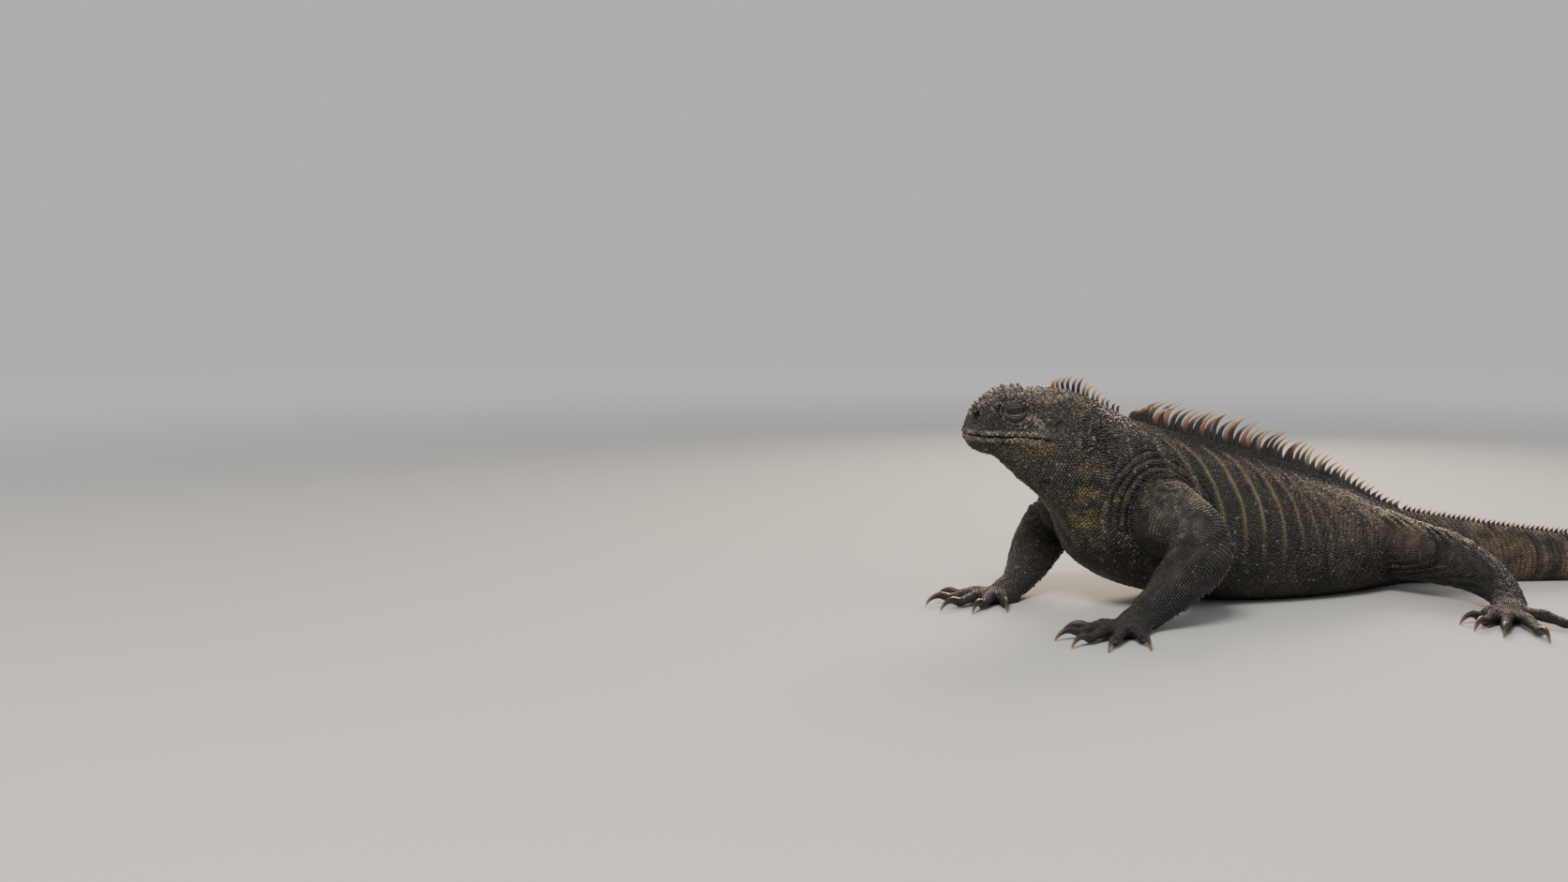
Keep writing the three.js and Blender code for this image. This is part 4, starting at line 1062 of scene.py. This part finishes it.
class IGUANA_OT_crest(bpy.types.Operator):
    """Spines of the nape, the back and the tail"""
    bl_idname = "iguana.crest"
    bl_label = "Crest"

    def execute(self, context):
        crest = context.scene.iguana_crest
        c = context.scene.iguana_colours
        rng = np.random.default_rng(SPINE_SEED)
        spots = []
        for k in range(crest.nape_count):
            s = k / (crest.nape_count - 1)
            rise = 0.5 + 0.5 * math.sin(math.pi * min(1, 0.25 + 0.75 * s))
            t = NAPE["from"] + NAPE["run"] * s
            spots.append((t, crest.nape_height / MM * rise, *NAPE["shape"]))
        for t in self.along(BACK["from"], BACK["from"] + BACK["run"], crest.dorsal_spacing / MM):
            s = (t - BACK["from"]) / BACK["run"]
            rise = float(smoothstep(s, -0.04, 0.06)) * (1 - 0.68 * float(smoothstep(s, 0.35, 1)))
            spots.append((t, crest.dorsal_height / MM * rise, *BACK["shape"]))
        for t in self.along(TAIL["from"], TAIL["from"] + TAIL["run"], crest.tail_spacing / MM):
            left = 1 - 0.75 * float(smoothstep(t, 14, 20))
            high = crest.tail_height / MM * left
            spots.append((t, high, TAIL["length"], TAIL["thick"] * left, (0.0, 0.5), 0.0))
        parts = []
        for t, height, long, thick, (curl, lean), upright in spots:
            high = height * rng.uniform(0.86, 1.1)
            bend = curl * rng.uniform(0.4, 1.4), lean * rng.uniform(0.8, 1.2)
            parts.append(self.spine(t, high, long, thick, bend, upright, rng, c))
        vertices, faces, tint = join(parts)
        obj = mesh_object("crest", vertices, faces, tint)
        dress(obj, shared_material("horn", 0.42, 500, 0.15))
        return {"FINISHED"}

    def spine(self, t, height, long, thick, bend, upright, rng, c):
        """One spine with its root on the back at section t, and its colours."""
        root = body_points(t, math.pi / 2)
        across, half = body_frame(np.array(float(t)))
        back = unit(body_middle(np.array(t + 0.05)) - body_middle(np.array(t - 0.05)))
        up = np.cross(across, back)
        if up @ half < 0:
            up = -up
        up = unit(up + (UP - up) * upright)
        up = unit(up + across * rng.normal(0, 0.06) + back * rng.normal(0, 0.05))
        v, f, level = blade(root, up, back, across, height, long, thick, *bend)
        dark, edge, tip = (np.array(x) for x in (c.spine_root, c.spine_edge, c.spine_tip))
        tan = rng.random() < 0.14 or t < 3.5 and rng.random() < 0.4
        start = 0.05 if tan else rng.uniform(0.3, 0.55)
        low = smoothstep(level, start, start + 0.3)[:, None]
        high = smoothstep(level, start + 0.25, 1.0)[:, None]
        tint = dark + (edge - dark) * low
        tint = tint + (tip - tint) * high
        return v, f, tint

    def along(self, start, stop, spacing):
        """Sections that lie evenly spaced along the back."""
        t = np.linspace(start, stop, 3000)
        p = body_points(t, math.pi / 2)
        run = np.concatenate([[0], np.cumsum(np.linalg.norm(np.diff(p, axis=0), axis=1))])
        return np.interp(np.arange(spacing / 2, run[-1], spacing), run, t)


CLAW_RINGS = 22
CLAW_SIDES = 12


class IGUANA_OT_claws(bpy.types.Operator):
    """A hooked claw at the end of each toe"""
    bl_idname = "iguana.claws"
    bl_label = "Claws"

    def execute(self, context):
        long = context.scene.iguana_sizes.claw_length / MM
        horn = np.array(context.scene.iguana_colours.claw)
        tip = np.array(context.scene.iguana_colours.spine_tip) * 0.45
        parts = []
        for leg in LEGS:
            for start, way, length in toe_ways(leg):
                at = lambda share, z, w, h: (*(start + way * (length + long * share))[:2], z, w, h)
                rows = [at(-0.22, 5.4, 2.6, 3.0), at(0.02, 6.2, 2.7, 3.3), at(0.28, 7.8, 2.3, 3.0),
                        at(0.55, 7.2, 1.8, 2.3), at(0.78, 4.8, 1.3, 1.6), at(0.93, 1.8, 0.8, 0.9),
                        at(0.98, 0.35, 0.25, 0.25)]
                v, quads, caps = shell(tube(rows, CLAW_RINGS, CLAW_SIDES))
                level = np.linspace(0, 1, CLAW_RINGS).repeat(CLAW_SIDES)
                level = np.concatenate([level, [0, 1]])[:, None]
                tint = horn + (tip - horn) * smoothstep(level, 0.55, 1.0)
                parts.append((v, triangles(quads, caps), tint))
        vertices, faces, tint = join(parts)
        dress(mesh_object("claws", vertices, faces, tint), shared_material("horn", 0.42, 500, 0.15))
        return {"FINISHED"}


# Colours of the eye, and how far outward iris and pupil begin, as a share of its radius
PUPIL = (0.004, 0.004, 0.004)
IRIS = (0.05, 0.026, 0.012)
EYEBALL = (0.02, 0.015, 0.012)
PUPIL_EDGE = 0.93
IRIS_EDGE = 0.72
# The opening between the lids, as half angles seen from the eye's middle, its tilt, the angle at
# which the lids end, and the height of their folds in millimetres
LID_LENGTH = math.radians(56)
UPPER_LID = math.radians(21)
LOWER_LID = math.radians(17)
LID_TILT = math.radians(-7)
LID_END = math.radians(86)
LID_FOLD = 0.6


class IGUANA_OT_eyes(bpy.types.Operator):
    """Dark eyes under half-closed, folded lids"""
    bl_idname = "iguana.eyes"
    bl_label = "Eyes and lids"

    def execute(self, context):
        radius = context.scene.iguana_sizes.eye_radius / MM
        colours = palette()
        for side, name in ((1, "left"), (-1, "right")):
            centre = in_head(EYE[0], side * EYE[1], EYE[2])
            ball = dome(centre, (LEFT * side * radius, FORWARD * radius, UP * radius), 40, 48)
            v, quads, caps = shell(ball)
            outward = (unit(v - centre) @ (LEFT * side))[:, None]
            tint = np.where(outward > IRIS_EDGE, IRIS, EYEBALL)
            tint = np.where(outward > PUPIL_EDGE, PUPIL, tint)
            eye = mesh_object(f"eyeball_{name}", v, triangles(quads, caps), tint)
            dress(eye, shared_material("eye", 0.06, 300, 0.0), "eye", f"eye_{name}")
            self.lid(name, side, centre, radius, colours)
        return {"FINISHED"}

    def lid(self, name, side, centre, radius, colours):
        """Folds of skin round the eye, from the edge of the opening to where they sink in the head, with
        painted highlights on the fold crests and the rim and painted shade between the folds.
        """
        around, rings = 96, 34
        phi = np.linspace(0, 2 * np.pi, around, endpoint=False)
        tall = np.where(np.sin(phi) > 0, UPPER_LID, LOWER_LID)
        edge = 1 / np.sqrt((np.cos(phi) / LID_LENGTH) ** 2 + (np.abs(np.sin(phi)) / tall) ** 2)
        corner = np.abs(np.cos(phi)) ** 6
        edge = edge * (1 + 0.12 * corner)
        s = np.linspace(0, 1, rings)[:, None]
        angle = edge + (LID_END - edge) * s ** 0.9
        roll = np.clip(s / 0.07, 0, 1)
        folds = LID_FOLD * np.sin(2 * np.pi * (s ** 0.8) * 3.6 + 0.7) * smoothstep(s, 0.04, 0.16)
        r = radius + 0.15 + 1.25 * np.sqrt(roll) + folds * (1 - 0.6 * corner)
        out = np.cos(angle) * r
        f = np.sin(angle) * r * np.cos(phi)[None] * 1.06
        u = np.sin(angle) * r * np.sin(phi)[None]
        c, h = math.cos(LID_TILT), math.sin(LID_TILT)
        f, u = f * c - u * h, f * h + u * c
        grid = centre + LEFT * side * out[..., None] + FORWARD * f[..., None] + UP * u[..., None]
        v, quads, _ = shell(grid)
        v = v[:-2]
        if side < 0:
            quads = quads[:, ::-1]
        charcoal, brown, _, _, pale = (np.array(c) for c in colours)
        base = charcoal + brown * 0.35
        # Painted highlight on the crests of the lid folds and painted shade between them, and a pale
        # painted highlight along the rim of the opening
        crest = (np.clip(0.5 + folds / (2 * LID_FOLD), 0, 1) + 0 * angle).reshape(-1, 1)
        rim = (np.exp(-((s / 0.05) ** 2)) + 0 * angle).reshape(-1, 1)
        grain = 0.7 + 0.6 * noise(v, 1.6, 28)[:, None]
        tint = base * grain * (0.3 + 1.5 * crest) + rim * pale * 0.22
        lid = mesh_object(f"lids_{name}", v, quads, tint)
        dress(lid, shared_material("hide", 0.55))


# The stage: half the floor's side in millimetres, where the floor grows paler in metres from the
# middle, what the lamps aim at, and each lamp's place, size, power, spread in degrees and colour.
FLOOR_HALF = 60000
FLOOR_FADE = (0.8, 4.0)
LIT = Vector((-0.05, 0, 0.08))
LAMPS = {
    "key": ((-1.3, -1.0, 1.7), 0.8, 52, 180, (1, 0.95, 0.88)),
    "fill": ((1.4, -1.6, 0.8), 1.6, 9, 180, (0.85, 0.92, 1)),
    "rim": ((1.2, 1.5, 1.1), 1.0, 18, 80, (1, 0.80, 0.56)),
}
CAMERA = (-0.934, -1.040, 0.245)
CAMERA_HEADING = math.radians(24)
CAMERA_PITCH = math.radians(4.87)


class IGUANA_OT_stage(bpy.types.Operator):
    """Pale floor, soft studio light and the camera at the photo's viewing angle"""
    bl_idname = "iguana.stage"
    bl_label = "Stage"

    def execute(self, context):
        self.floor(context)
        self.lights(context)
        self.camera(context)
        return {"FINISHED"}

    def floor(self, context):
        corners = np.array([(-1, -1, 0), (1, -1, 0), (1, 1, 0), (-1, 1, 0)], float)
        floor = mesh_object("floor", corners * FLOOR_HALF, [(0, 1, 2, 3)])
        floor.data.materials.append(self.floor_material())
        world = bpy.data.worlds.new("studio")
        world.use_nodes = True
        background = world.node_tree.nodes["Background"]
        background.inputs["Color"].default_value = (0.98, 0.99, 1, 1)
        background.inputs["Strength"].default_value = 0.55
        context.scene.world = world

    def floor_material(self):
        """Pale grey, lighter with distance, so that the floor runs into the background."""
        material = bpy.data.materials.new("floor")
        material.use_nodes = True
        nodes, links = material.node_tree.nodes, material.node_tree.links
        shader = nodes["Principled BSDF"]
        place = nodes.new("ShaderNodeTexCoord")
        away = nodes.new("ShaderNodeVectorMath")
        away.operation = "LENGTH"
        fade = nodes.new("ShaderNodeMapRange")
        fade.interpolation_type = "SMOOTHSTEP"
        fade.inputs["From Min"].default_value = FLOOR_FADE[0]
        fade.inputs["From Max"].default_value = FLOOR_FADE[1]
        ramp = nodes.new("ShaderNodeValToRGB")
        ramp.color_ramp.elements[0].color = (0.45, 0.445, 0.435, 1)
        ramp.color_ramp.elements[1].color = (0.97, 0.97, 0.98, 1)
        links.new(place.outputs["Object"], away.inputs[0])
        links.new(away.outputs["Value"], fade.inputs["Value"])
        links.new(fade.outputs["Result"], ramp.inputs["Fac"])
        links.new(ramp.outputs["Color"], shader.inputs["Base Color"])
        shader.inputs["Roughness"].default_value = 0.9
        shader.inputs["Specular IOR Level"].default_value = 0.1
        return material

    def lights(self, context):
        for name, (place, size, power, spread, tint) in LAMPS.items():
            lamp = bpy.data.lights.new(name, "AREA")
            lamp.size = size
            lamp.energy = power
            lamp.color = tint
            lamp.spread = math.radians(spread)
            obj = bpy.data.objects.new(name, lamp)
            obj.location = place
            obj.rotation_euler = (LIT - Vector(place)).to_track_quat("-Z", "Y").to_euler()
            context.scene.collection.objects.link(obj)

    def camera(self, context):
        """Stands where the photographer stood: 1.4 m off, 245 mm up, a 35 mm lens nearly level."""
        camera = bpy.data.cameras.new("camera")
        camera.lens = 35
        camera.sensor_width = 36
        obj = bpy.data.objects.new("camera", camera)
        obj.location = CAMERA
        level = math.cos(CAMERA_PITCH)
        way = Vector((math.sin(CAMERA_HEADING) * level, math.cos(CAMERA_HEADING) * level,
                      -math.sin(CAMERA_PITCH)))
        obj.rotation_euler = way.to_track_quat("-Z", "Y").to_euler()
        context.scene.collection.objects.link(obj)
        context.scene.camera = obj


class IGUANA_PT_panel(bpy.types.Panel):
    """Sizes, colours and a button for each step"""
    bl_idname = "IGUANA_PT_panel"
    bl_label = "Marine iguana"
    bl_space_type = "VIEW_3D"
    bl_region_type = "UI"
    bl_category = "Iguana"

    def draw(self, context):
        scene = context.scene
        for group in (scene.iguana_sizes, scene.iguana_crest, scene.iguana_colours):
            box = self.layout.box()
            for name in group.__annotations__:
                box.prop(group, name)
        for operator in OPERATORS:
            self.layout.operator(operator.bl_idname)


OPERATORS = (IGUANA_OT_skin, IGUANA_OT_scales, IGUANA_OT_crest, IGUANA_OT_claws, IGUANA_OT_eyes,
             IGUANA_OT_stage)
CLASSES = (IguanaSizes, IguanaCrest, IguanaColours, *OPERATORS, IGUANA_PT_panel)


def register():
    for cls in CLASSES:
        bpy.utils.register_class(cls)
    bpy.types.Scene.iguana_sizes = bpy.props.PointerProperty(type=IguanaSizes)
    bpy.types.Scene.iguana_crest = bpy.props.PointerProperty(type=IguanaCrest)
    bpy.types.Scene.iguana_colours = bpy.props.PointerProperty(type=IguanaColours)


def unregister():
    del bpy.types.Scene.iguana_sizes
    del bpy.types.Scene.iguana_crest
    del bpy.types.Scene.iguana_colours
    for cls in reversed(CLASSES):
        bpy.utils.unregister_class(cls)


def main():
    register()
    bpy.ops.iguana.skin()
    bpy.ops.iguana.scales()
    bpy.ops.iguana.crest()
    bpy.ops.iguana.claws()
    bpy.ops.iguana.eyes()
    bpy.ops.iguana.stage()


if __name__ == "__main__":
    main()
